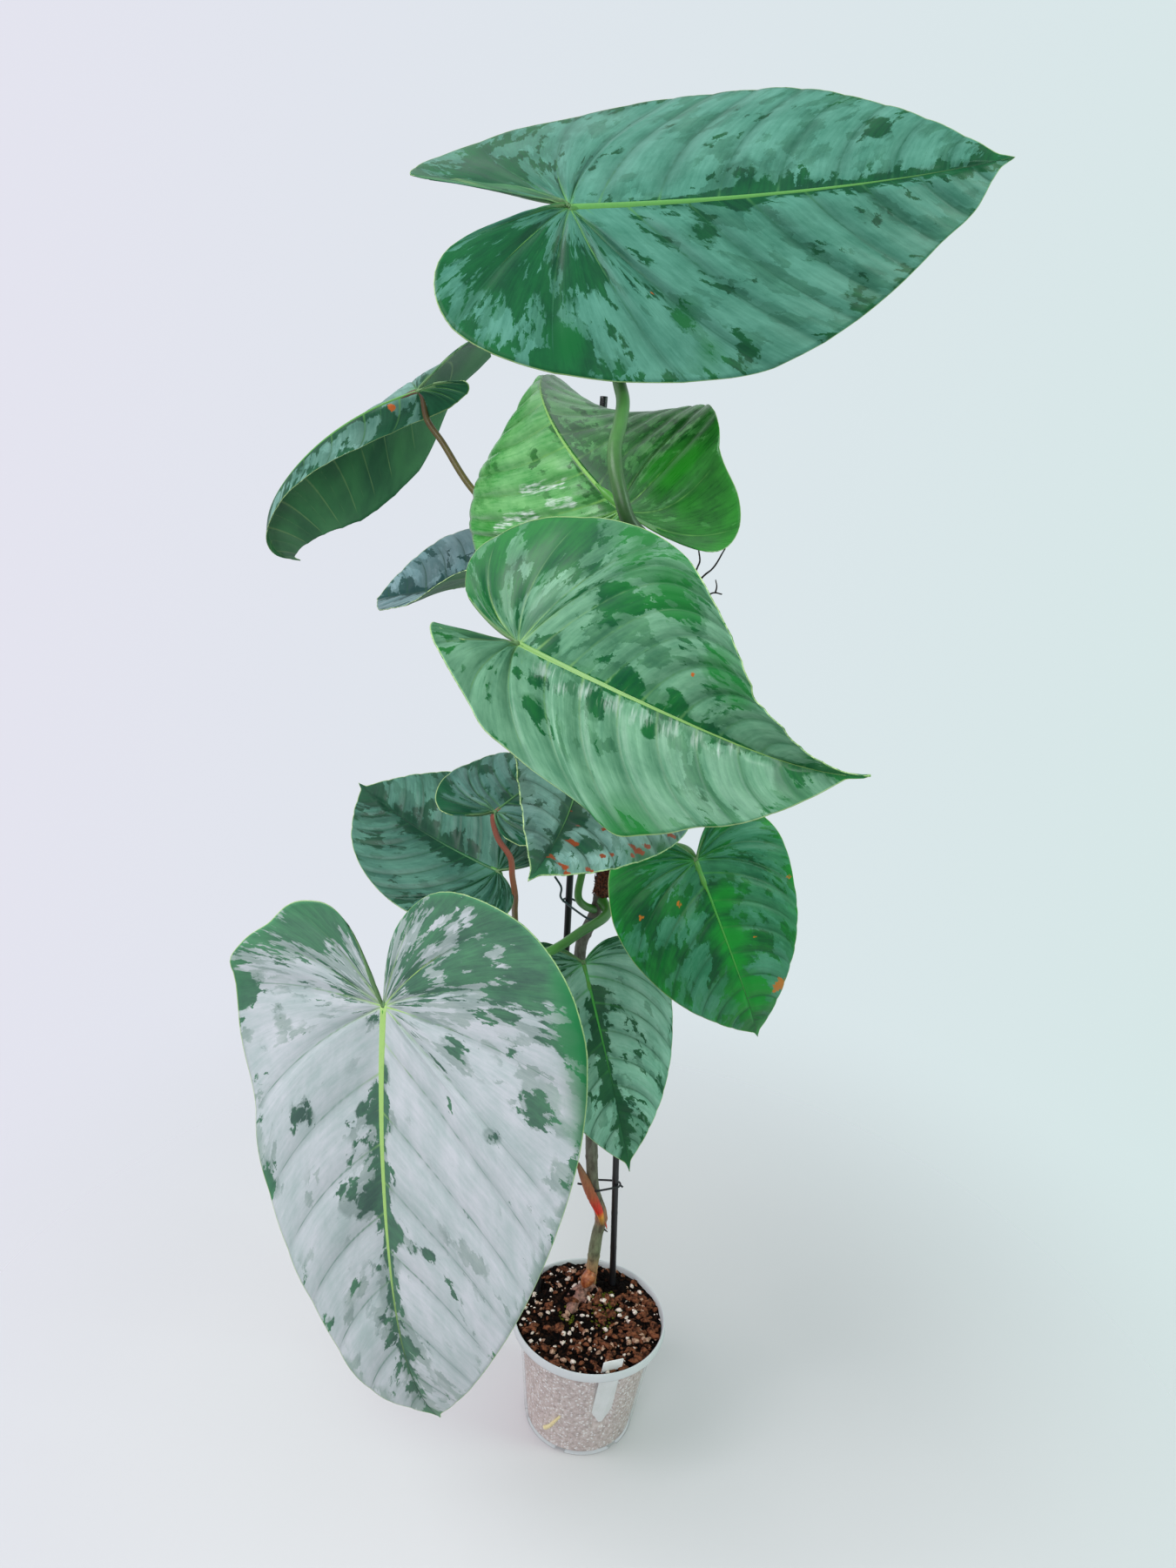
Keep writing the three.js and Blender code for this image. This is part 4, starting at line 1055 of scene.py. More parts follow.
    def under_point(self, along: float, below: float) -> tuple[float, ...]:
        """A point under the start of the midrib, in the part's frame."""
        return tuple(self.turn() @ Vector((0, along, -below)) + Vector(self.base))


@dataclass
class HalfGrid:
    """One half of a blade, laid flat: ribs from the midrib to the margin, with steps along them.

    Attributes:
        side: 0 for the left half and 1 for the right.
        knots: The margin shares of the sinus, the side veins and the tip.
        share: The margin share of each rib.
        across: The shares of a rib where its steps lie.
        flat: Across and along in millimetres, for each rib and step.
    """

    side: int
    knots: Array
    share: Array
    across: Array
    flat: Array

    def rib_length(self) -> Array:
        """The length of each rib, in a column."""
        return np.linalg.norm(self.flat[:, -1] - self.flat[:, 0], axis=1)[:, None]

    def shares(self) -> Array:
        """The margin share of each point."""
        return np.broadcast_to(self.share[:, None], self.flat.shape[:-1])


# A raised rib's section: how far out and how far up, in half widths and heights.
RIB_SIDE = ((1.0, 0.0), (0.8, 0.45), (0.4, 0.88))
RIB_SECTION = (*((-x, z) for x, z in RIB_SIDE), (0.0, 1.0), *reversed(RIB_SIDE), (0.0, -0.4))

# What a point off the blade reads where a finish asks how near it is to a line or a mark.
FAR = 9.0


@dataclass
class LeafMaker:
    """Builds a leaf's blade with its swells, veins and drip tip, and its stalk, in millimetres.

    Attributes:
        ribs_per_vein: Ribs of the grid from one side vein to the next.
        steps: Steps along each rib.
        lobe_veins: Where the lobe's veins end, as shares of its margin.
        dents: Shallow dents all over the blade: height, and size across and along.
        green_rim: How far the margin's green reaches in, and bright_rim its brighter tone.
        valley: How far the painted shade beside a side vein reaches.
        main_ribs: Raised side veins: number of the vein, and the share of it that is raised.
        main_half: Their half width, as a share of the midrib's.
    """

    leaf: Leaf
    ribs_per_vein: int = 10
    steps: int = 34
    thickness: float = 0.6
    vein_half: float = 1.35
    lobe_veins: tuple[float, ...] = (0.2, 0.42, 0.62, 0.8, 0.96)
    dents: tuple[Point, ...] = ((0.3, 7.0, 9.0), (0.8, 17.0, 23.0))
    green_rim: float = 11.0
    bright_rim: float = 9.0
    valley: float = 4.5
    main_ribs: tuple[tuple[int, float], ...] = ((1, 0.55), (3, 0.42))
    main_half: float = 0.3
    main_height: float = 0.3
    midrib_height: float = 0.75

    def vein_shares(self, side: int) -> Array:
        """The margin shares where the side veins of one half end, the lobe's veins first."""
        leaf, count = self.leaf, self.leaf.look.veins
        fine = np.linspace(0, 1, 3001)
        start = leaf.rib_start(side, fine)
        lobe_end = fine[np.argmax(start > 0.01 * leaf.length)]
        # The two halves' veins leave the midrib by turns.
        offset = (0.5, 0.95)[side]
        wanted = leaf.length * ((np.arange(count) + offset) / (count + 0.6)) ** 1.04
        outer = np.interp(wanted, start + 1e-6 * fine, fine)
        return np.concatenate([lobe_end * np.array(self.lobe_veins), outer[outer > lobe_end + 0.01]])

    def vein_metric(self, grid: HalfGrid, ends: Array, width: float) -> Array:
        """Distance from the grid's points to the nearest vein, in units of that vein's half width.

        Args:
            grid: The points.
            ends: The margin shares where the veins end.
            width: The half width of a vein at the midrib, in millimetres.

        Returns:
            The metric, 0 on a vein.
        """
        a = np.linspace(0, 0.98, 90)
        veins = self.leaf.rib(grid.side, ends, a).reshape(-1, 2)
        widths = np.tile(width * (1 - 0.7 * a), len(ends))
        nearest = np.full(grid.flat.shape[:-1], 1e9)
        for vein, half in zip(veins, widths):
            away = np.hypot(grid.flat[..., 0] - vein[0], grid.flat[..., 1] - vein[1])
            nearest = np.minimum(nearest, away / half)
        return nearest

    def spots(self, grid: HalfGrid, marks: Sequence[Point], slope: float = 1.0) -> Array:
        """How strongly each point of the grid lies in one of the marks, from 0 to 1."""
        result = np.zeros(grid.flat.shape[:-1])
        for x, y, radius in marks:
            away = np.hypot(grid.flat[..., 0] * (-1, 1)[grid.side] - x, grid.flat[..., 1] - y)
            result = np.maximum(result, 1 - slope * away / radius)
        return result

    def grid(self, side: int) -> HalfGrid:
        """Lays one half flat, with more steps near the midrib and at the margin, where the lines are."""
        knots = np.concatenate([[0.0], self.vein_shares(side), [1.0]])
        spans = [np.linspace(a, b, self.ribs_per_vein, endpoint=False) for a, b in zip(knots, knots[1:])]
        share = np.concatenate([*spans, [1.0]])
        t = np.linspace(0, 1, self.steps + 1)
        across = 0.55 * t**2.1 + 0.45 * (1 - (1 - t) ** 1.7)
        across[0], across[-1] = 0, 1
        return HalfGrid(side, knots, share, across, self.leaf.rib(side, share, across))

    def relief(self, grid: HalfGrid) -> Array:
        """How far the blade stands above its plain form, in millimetres.

        It swells between neighbouring side veins, more steeply towards the tip, with a dent at the thin vein
        between them, and is lightly dented all over.

        Args:
            grid: The flat half.

        Returns:
            The height of each point.
        """
        knots, share, a = grid.knots, grid.share, grid.across[None, :]
        cell = np.clip(np.searchsorted(knots, share, side="right") - 1, 0, len(knots) - 2)
        part = (share - knots[cell]) / (knots[cell + 1] - knots[cell])
        pillow = 1 - np.abs(2 * part**0.8 - 1) ** 2.1 - 0.2 * bell(part, 0.5, 0.06)
        inside = smooth(0.0, 0.16, a) * (1 - 0.6 * smooth(0.55, 1.0, a)) * smooth(3, 30, grid.rib_length())
        draw = np.random.default_rng(100 * self.leaf.seed + grid.side)
        strength = draw.uniform(0.6, 1.25, len(knots))[cell]
        phase = draw.uniform(0, FULL_TURN, 4)
        dents = np.zeros(grid.flat.shape[:-1])
        for k, (height, wide, long) in enumerate(self.dents):
            x, y = grid.flat[..., 0] / wide + phase[2 * k], grid.flat[..., 1] / long + phase[2 * k + 1]
            dents = dents + height * np.sin(x) * np.sin(y)
        swells = self.leaf.look.pucker * pillow[:, None] * strength[:, None] * inside
        return swells + dents * smooth(0.03, 0.3, a)

    def values(self, grid: HalfGrid) -> dict[str, Array]:
        """What the finishes read at each point.

        Args:
            grid: The flat half.

        Returns:
            The values by name.
        """
        leaf, look, a, rib_length = self.leaf, self.leaf.look, grid.across[None, :], grid.rib_length()
        middle, along = np.abs(grid.flat[..., 0]), grid.flat[..., 1] / leaf.length
        edge = (1 - a) * rib_length
        lobe = smooth(0.12, -0.16, along)
        # Bright green washes, partly a painted glow of light through the thin blade.
        flush = self.spots(grid, look.flush)
        cover = look.silver + (-1, 1)[grid.side] * look.lean / 2 - look.lobe_green * lobe
        cover = cover - look.rim_green * np.exp(-((edge / self.green_rim) ** 1.4))
        cover = cover - 0.55 * np.exp(-((middle / look.feather) ** 1.3)) * smooth(0.04, 0.2, along)
        # Silver marks also paint light on parts of the blade that are turned from the lamps.
        cover = cover - 0.5 * self.spots(grid, look.dark, 0.55) + 0.45 * self.spots(grid, look.silver_and_light)
        knots = grid.knots
        main = self.vein_metric(grid, knots[1:-1], self.vein_half)
        minor = self.vein_metric(grid, (knots[1:] + knots[:-1]) / 2, 0.5 * self.vein_half) + 0.4
        near_base = np.exp(-np.hypot(middle, grid.flat[..., 1]) / look.pale_mm)
        mid_width = look.rib_half * (1 - 0.85 * np.clip(along, 0, 1))
        # The pattern's own draw, far from those of the other half and the other leaves.
        draw = np.full(along.shape, 40.0 * grid.side + 7.3 * leaf.seed)
        return {
            "grain": np.stack([grid.shares() * 1.4 * leaf.length, a * rib_length, draw], -1),
            "cover": cover - 0.12 * flush,
            "tone": 0.4 * np.exp(-edge / self.bright_rim) + 0.15 * lobe + 1.1 * flush,
            "pale": np.clip(near_base + 0.9 * np.exp(-middle / 8) * (1 - along), 0, 1),
            "side_vein": np.minimum(main, minor),
            # Painted shade in the valleys beside the side veins.
            "valley": np.exp(-main * self.vein_half / self.valley) * smooth(0, 0.1, a),
            "midrib": middle / mid_width + 3.0 * smooth(0, -6, grid.flat[..., 1]),
            "fade": look.fading(along),
            "edge": edge,
            "rust": self.spots(grid, look.rust, 0.5),
            # Where the painted highlights on the ridges lie.
            "glint": self.spots(grid, look.glints),
        }

    def rib_strip(
        self, shape: Shape, route: Along, half: float, height: float, side: int | None, names: Sequence[str],
    ) -> None:
        """Adds a rounded rib that lies on the blade.

        Args:
            shape: The mesh to add to.
            route: Flat points for shares of the rib's run.
            half: The half width at its start, in millimetres.
            height: How far it stands up at its start, in millimetres.
            side: The half it lies on, or None for the midrib.
            names: The values that the mesh carries.
        """
        # The foot lies inside the blade, and even the rib's thin end stands out of it.
        leaf, foot, least = self.leaf, 0.12, 0.22
        t = np.linspace(0, 1, 70)
        share = np.full(len(t), 0.5)
        centre = route(t)
        ahead = unit_rows(np.gradient(centre, axis=0))
        out = np.stack([ahead[:, 1], -ahead[:, 0]], 1)
        taper = 0.12 + 0.88 * (1 - t) ** 1.4
        rows = np.zeros((len(t), len(RIB_SECTION), 3))
        for k, (x, z) in enumerate(RIB_SECTION):
            flat = centre + out * (half * taper * x)[:, None]
            lift = foot + (height * taper * z if z < 0 else (least + height * taper) * z)
            if side is not None:
                rows[:, k] = leaf.placed(side, flat, share, lift)
                continue
            folded = np.stack([np.abs(flat[:, 0]), flat[:, 1]], 1)
            left, right = (leaf.placed(half_side, folded, share, lift) for half_side in (0, 1))
            rows[:, k] = (left + right) / 2 if x == 0 else np.where((flat[:, 0] < 0)[:, None], left, right)
        along = np.repeat(centre[:, 1] / leaf.length if side is None else 0.9 * t, len(RIB_SECTION))
        values = {name: np.full(len(along), FAR) for name in names}
        values |= {"fade": leaf.look.fading(along), "grain": np.zeros((len(along), 3))}
        shape.add(rows.reshape(-1, 3), tube_faces(len(t), len(RIB_SECTION)), Face.RIB, **values)

    def sheet(self) -> Mesh:
        """Both halves as one thin sheet, side by side along the midrib."""
        shape = Shape()
        for side in (0, 1):
            grid = self.grid(side)
            places = self.leaf.placed(side, grid.flat, grid.shares(), self.relief(grid))
            rows, columns = places.shape[:2]
            faces = []
            for a in (i * columns + k for i in range(rows - 1) for k in range(columns - 1)):
                quad = (a, a + 1, a + 1 + columns, a + columns)
                faces.append(quad if side == 1 else quad[::-1])
            values = {}
            for name, value in self.values(grid).items():
                spread = np.broadcast_to(value, (rows, columns) + value.shape[2:])
                values[name] = spread.reshape((rows * columns,) + value.shape[2:])
            shape.add(places.reshape(-1, 3), faces, 0, **values)
        draft = shape.piece(self.leaf.name + "_draft", [])
        mesh = draft.data
        bpy.data.objects.remove(draft)
        work = bmesh.new()
        work.from_mesh(mesh)
        # The halves are joined along the midrib, where their corners meet.
        bmesh.ops.remove_doubles(work, verts=work.verts, dist=4e-6)
        bmesh.ops.dissolve_degenerate(work, edges=work.edges, dist=1e-6)
        work.to_mesh(mesh)
        work.free()
        return mesh

    def blade(self) -> Object:
        """The blade with its two faces, its rim and its raised ribs."""
        leaf, look = self.leaf, self.leaf.look
        mesh = self.sheet()
        count = len(mesh.vertices)
        corners, normals = np.zeros(count * 3), np.zeros(count * 3)
        mesh.vertices.foreach_get("co", corners)
        mesh.vertex_normals.foreach_get("vector", normals)
        corners, normals = corners.reshape(-1, 3) / MM, normals.reshape(-1, 3)
        values = {}
        for made in mesh.attributes:
            if made.data_type not in ("FLOAT", "FLOAT_VECTOR") or made.name == "position":
                continue
            wide = made.data_type == "FLOAT_VECTOR"
            data = np.zeros(count * (3 if wide else 1))
            made.data.foreach_get("vector" if wide else "value", data)
            values[made.name] = data.reshape(-1, 3) if wide else data
        # Below, the midrib stands out roundly and the side veins a little.
        ridge = np.clip(1.6 - values["midrib"], 0, 1.2) * (1.1 - 0.9 * values["fade"])
        below = self.thickness / 2 + 0.9 * ridge + 0.35 * np.clip(1.2 - values["side_vein"], 0, 1)
        upper = corners + normals * (self.thickness / 2)
        lower = corners - normals * below[:, None]
        faces = [tuple(face.vertices) for face in mesh.polygons]
        shape = Shape()
        shape.add(upper, faces, Face.UPPER, **values)
        shape.add(lower, [face[::-1] for face in faces], Face.UNDER, **values)
        work = bmesh.new()
        work.from_mesh(mesh)
        for edge in work.edges:
            if edge.is_boundary:
                loop = edge.link_loops[0]
                a, b = loop.vert.index, loop.link_loop_next.vert.index
                shape.faces.append((b, a, a + count, b + count))
                shape.places.append(Face.RIM)
        work.free()
        bpy.data.meshes.remove(mesh)
        # The midrib starts just behind the base and ends just before the tip.
        behind, before = 1.5, 0.985
        self.rib_strip(
            shape, lambda t: np.stack([0 * t, -behind + (before * leaf.length + behind) * t], 1),
            look.rib_half, self.midrib_height, None, list(values),
        )
        for side in (0, 1):
            ends = self.vein_shares(side)
            for number, reach in self.main_ribs:
                self.rib_strip(
                    shape, lambda t: leaf.rib(side, ends[[number]], reach * t)[0],
                    self.main_half * look.rib_half, self.main_height, side, list(values),
                )
        rim = Clouded(leaf.name + "_rim", look.upper.margin, look.upper.bright, 3.0, 0.5, 0.05)
        midrib = Midrib(leaf.name + "_midrib", look.upper.midrib, look.upper.dark)
        finishes = (look.upper, look.under, rim, midrib)
        return shape.piece(leaf.name + "_blade", [finish.material() for finish in finishes])

    def stalk(self) -> Object:
        """The stalk, which swells at its foot and runs on under the midrib."""
        leaf = self.leaf
        route = [*leaf.route, leaf.under_point(-1, 0.7 * leaf.stalk), leaf.under_point(12, 0.55 * leaf.stalk)]
        run_on = leaf.under_point(26, 0.35 * leaf.stalk)

        def radius(share: Array) -> Array:
            """The stalk's radius, which swells at its foot and tapers out at its end."""
            foot = 0.16 * np.exp(-share / 0.04)
            end = 1 - 0.75 * smooth(0.93, 1.0, share)
            return leaf.stalk * (1.12 - 0.42 * share + foot) * end

        shape = Shape()
        shape.tube([*route, run_on], radius, 18, 14 * len(route))
        return shape.piece(leaf.name + "_stalk", [leaf.look.stalk.material()])

    def build(self) -> None:
        """Builds and settles the blade and the stalk."""
        settle(self.blade(), self.leaf.slot, self.leaf.name)
        settle(self.stalk(), self.leaf.slot, self.leaf.name)


UNDER = LeafUnder("leaf_under", "3c7548", "28583a")
UNDER_LIGHT = LeafUnder("leaf_under_light", "5c9460", "3f7a50")
OLIVE_STALK = Stalk("olive_stalk", "121a12", "477a3c", (0.24, 0.5))
BROWN_STALK = Stalk("brown_stalk", "6f7f34", "4a3026")
GREEN_STALK = Stalk("green_stalk", "3f7a30", "4f9038")
RED_STALK = Stalk("red_stalk", "5f6f38", "a45a48", (0.35, 0.75))

TOP_LOOK = LeafLook(
    LeafUpper("top_leaf_skin", "58907d", "3c7561", "053a24", "0a5c2a", "5a9448", 0.38, valley=0.42,
              vein_dark="1f5a44", extra=0.08),
    UNDER, OLIVE_STALK, silver=0.68, lean=0.02, lobe_green=0.24, rim_green=0.1, feather=5.0, pucker=3.4,
    sweep=(1.05, 1.35), bow=(0.1, 0.05), rib_half=2.9, rust=((56, 46, 1.6),), fade=0.9,
    flush=((94, 81, 18), (72, 66, 14), (87, -13, 16)),
    dark=((45, -2, 17), (27, -35, 12), (40, -48, 16), (59, -15, 13), (19, 89, 9), (-12, 122, 12),
          (-4, 105, 10), (65, 195, 9), (93, 105, 9), (72, 66, 9), (103, 17, 12), (87, -13, 18),
          (-44, -39, 20), (-42, 230, 8)),
    swells=((1, 0.51, -3.5, 0.06), (1, 0.91, 4.5, 0.04), (0, 0.55, 2.5, 0.05)),
)
UPPER_LEFT_LOOK = LeafLook(
    LeafUpper("upper_left_leaf_skin", "7ba698", "4f8070", "063822", "0f5430", "5f9a4c"),
    UNDER, BROWN_STALK, silver=0.62, feather=4.0, sweep=(0.9, 0.9), rib_half=1.6,
    rust=((-5, 24, 3.0), (24, 194, 2.0)), dark=((-5, -10, 14), (-13, 31, 12), (-3, -27, 12)),
)
UPPER_MIDDLE_LOOK = LeafLook(
    LeafUpper("upper_middle_leaf_skin", "6fae68", "37863a", "0a4412", "1f7a1a", "82b85a", 0.26,
              film=0.08, glint_white=0.8, vein_dark="2a7030", specular=0.5, haze=0.55, extra=0.1),
    UNDER_LIGHT, GREEN_STALK, silver=0.54, lean=-0.4, lobe_green=0.16, rim_green=-0.06, feather=5.0,
    pucker=3.6, veins=8, sweep=(1.1, 1.15), bow=(0.08, 0.08), rib_half=2.8, pale_mm=90.0,
    flush=((-95, 78, 45), (79, 19, 34)),
    dark=((-5, 18, 18), (73, -6, 20), (-25, 83, 6), (14, 30, 18)),
    glints=(*row((-48, 75), (-20, 47), 9), *row((-36, 46), (-22, 31), 7), *row((-84, 80), (-52, 54), 10)),
    silver_and_light=((5, 125, 44), (30, 150, 44), (30, 120, 30)),
    swells=((0, 0.6, 5, 0.05), (0, 0.79, 9, 0.024), (0, 0.95, 3, 0.03), (1, 0.93, 6, 0.05),
            (1, 0.36, -4, 0.04), (1, 0.035, -6, 0.02)),
)
CENTRE_LOOK = LeafLook(
    LeafUpper("centre_leaf_skin", "72a481", "4c8060", "084a2a", "14702a", "74a054", 0.36, film=0.02,
              glint_white=0.32, specular=0.4, haze=0.5, vein_dark="35704c", extra=0.1),
    UNDER, OLIVE_STALK, silver=0.64, lean=0.1, lobe_green=0.06, rim_green=0.08, feather=3.0, pucker=3.4,
    veins=8, sweep=(1.45, 1.0), bow=(0.14, 0.1), rib_half=2.5, pale_mm=70.0, fade=1.3,
    rust=((-35, 122, 2.0),),
    flush=((-80, 92, 36), (-51, 144, 22), (-42, 158, 18), (71, 120, 34), (-83, 60, 34)),
    silver_and_light=((-14, 178, 30), (-20, 120, 24)),
    dark=((-69, 116, 8), (-7, 21, 7), (-10, 79, 8), (-50, 55, 13), (16, 71, 6), (6, 192, 8), (40, 39, 7),
          (12, 105, 5), (-27, -42, 20), (-61, -17, 18), (-73, 13, 16), (-12, 115, 7)),
    glints=((11, 29, 17), (9, 57, 16), (10, 76, 16), (9, 95, 15), (7, 114, 14), (6, 132, 12), (18, 44, 12),
            (5, 150, 11)),
    swells=((0, 0.785, -6, 0.02), (0, 0.845, 4.5, 0.02), (1, 0.4, 4, 0.02), (1, 0.48, -3, 0.03),
            (1, 0.57, 3, 0.03), (1, 0.7, -2.5, 0.04), (0, 0.11, 3, 0.03)),
)
FRONT_LOOK = LeafLook(
    LeafUpper("front_leaf_skin", "bbbfc1", "9fadaa", "073c2c", "0e7038", "98bd6a", haze=0.42,
              film=0.13, valley=0.24, vein_dark="3f6e58", extra=0.1),
    UNDER, GREEN_STALK, silver=0.76, lobe_green=0.38, feather=8.0, pucker=2.2, veins=6,
    sweep=(1.1, 1.15), bow=(0.06, 0.06), rib_half=2.8, flush=row((-158, -60), (-160, 48), 30),
    dark=((9, 82, 14), (19, 146, 12), (-10, 172, 8), (-22, 180, 7), (-34, 182, 5), (-127, 46, 12),
          (-126, 33, 10), (-62, 16, 9), (-78, -62, 10), (-63, -42, 8), (-31, -26, 8), (-142, 91, 8),
          (57, 83, 8), (71, 18, 5), (80, 135, 8), (-95, -87, 14), (54, -56, 14), (-60, 57, 5), (-91, 70, 6),
          (-14, 274, 10), (-120, -60, 14)),
    swells=((1, 0.34, -7, 0.06), (1, 0.475, 5, 0.035), (1, 0.6, -5, 0.03), (1, 0.87, 5, 0.06),
            (0, 0.07, 4, 0.04)),
)
LEFT_LOOK = LeafLook(
    LeafUpper("left_leaf_skin", "4d7e6a", "2f5e4e", "063220", "0c482a", "1f5c2c"),
    UNDER, GREEN_STALK, silver=0.66, rim_green=0.1, pucker=2.4, fade=0.5, sweep=(1.0, 0.95), feather=10.0,
)
SMALL_LOOK = LeafLook(
    LeafUpper("small_leaf_skin", "5f8a7e", "426c60", "0a3a28", "10502e", "4a7e44"),
    UNDER, RED_STALK, silver=0.62, pucker=2.8, veins=6, fade=0.5, sweep=(1.0, 1.0), rib_half=1.1,
)
BEHIND_LOOK = LeafLook(
    LeafUpper("behind_centre_leaf_skin", "93b7ac", "628e82", "08382a", "1c6030", "5a9448", rust="8a3f1c"),
    UNDER, GREEN_STALK, silver=0.68, rim_green=0.16, pucker=2.8, sweep=(1.0, 1.0), rib_half=1.3,
    dark=((-3, 106, 14), (-18, 139, 8), (0, 90, 10)), flush=((-52, 130, 24), (-60, 110, 20)),
    rust=((-8, 142, 3.2), (-12, 143, 2.4), (-13, 173, 2.6), (-3, 168, 3.4), (-26, 165, 3.0),
          (-29, 147, 2.2), (-34, 140, 2.6), (-23, 116, 2.4), (-20, 105, 2.2), (-44, 123, 3.6),
          (-49, 126, 3.8), (-53, 116, 3.0), (-68, 90, 3.4), (-8, 121, 2.2), (-1, 100, 1.8), (-16, 178, 2.6),
          (-9, 172, 2.2), (-46, 134, 2.6)),
)
RIGHT_LOOK = LeafLook(
    LeafUpper("right_leaf_skin", "4c8f6e", "2c7450", "054622", "148628", "46983c", 0.4, rust="b06a20"),
    UNDER, GREEN_STALK, silver=0.56, lobe_green=0.08, rim_green=0.1, pucker=2.6, feather=9.0,
    sweep=(1.0, 1.0), rib_half=1.3,
    rust=((-29, 137, 7.0), (24, 26, 2.6), (54, 25, 2.2), (-22, 77, 1.8), (-69, 49, 2.4)),
    flush=((-9, 35, 14), (-4, 66, 20), (-3, 124, 34), (0, 90, 16)),
    dark=((47, 62, 9), (-26, 87, 8), (54, 1, 16), (63, 65, 9), (-16, 31, 12), (54, 25, 9)),
)
LOWER_LOOK = LeafLook(
    LeafUpper("lower_leaf_skin", "90bfa6", "649e82", "0a4226", "145e2a", "3f9a3c"),
    UNDER, GREEN_STALK, silver=0.7, rim_green=0.1, pucker=2.6, feather=8.0, fade=0.6, sweep=(1.0, 1.0),
)
STRIP_LOOK = LeafLook(
    LeafUpper("behind_left_leaf_skin", "829fa0", "5c8484", "12403c", "164c42", "4f8a5c", 0.45),
    UNDER, GREEN_STALK, silver=0.66, rim_green=0.1, rib_half=1.2,
)

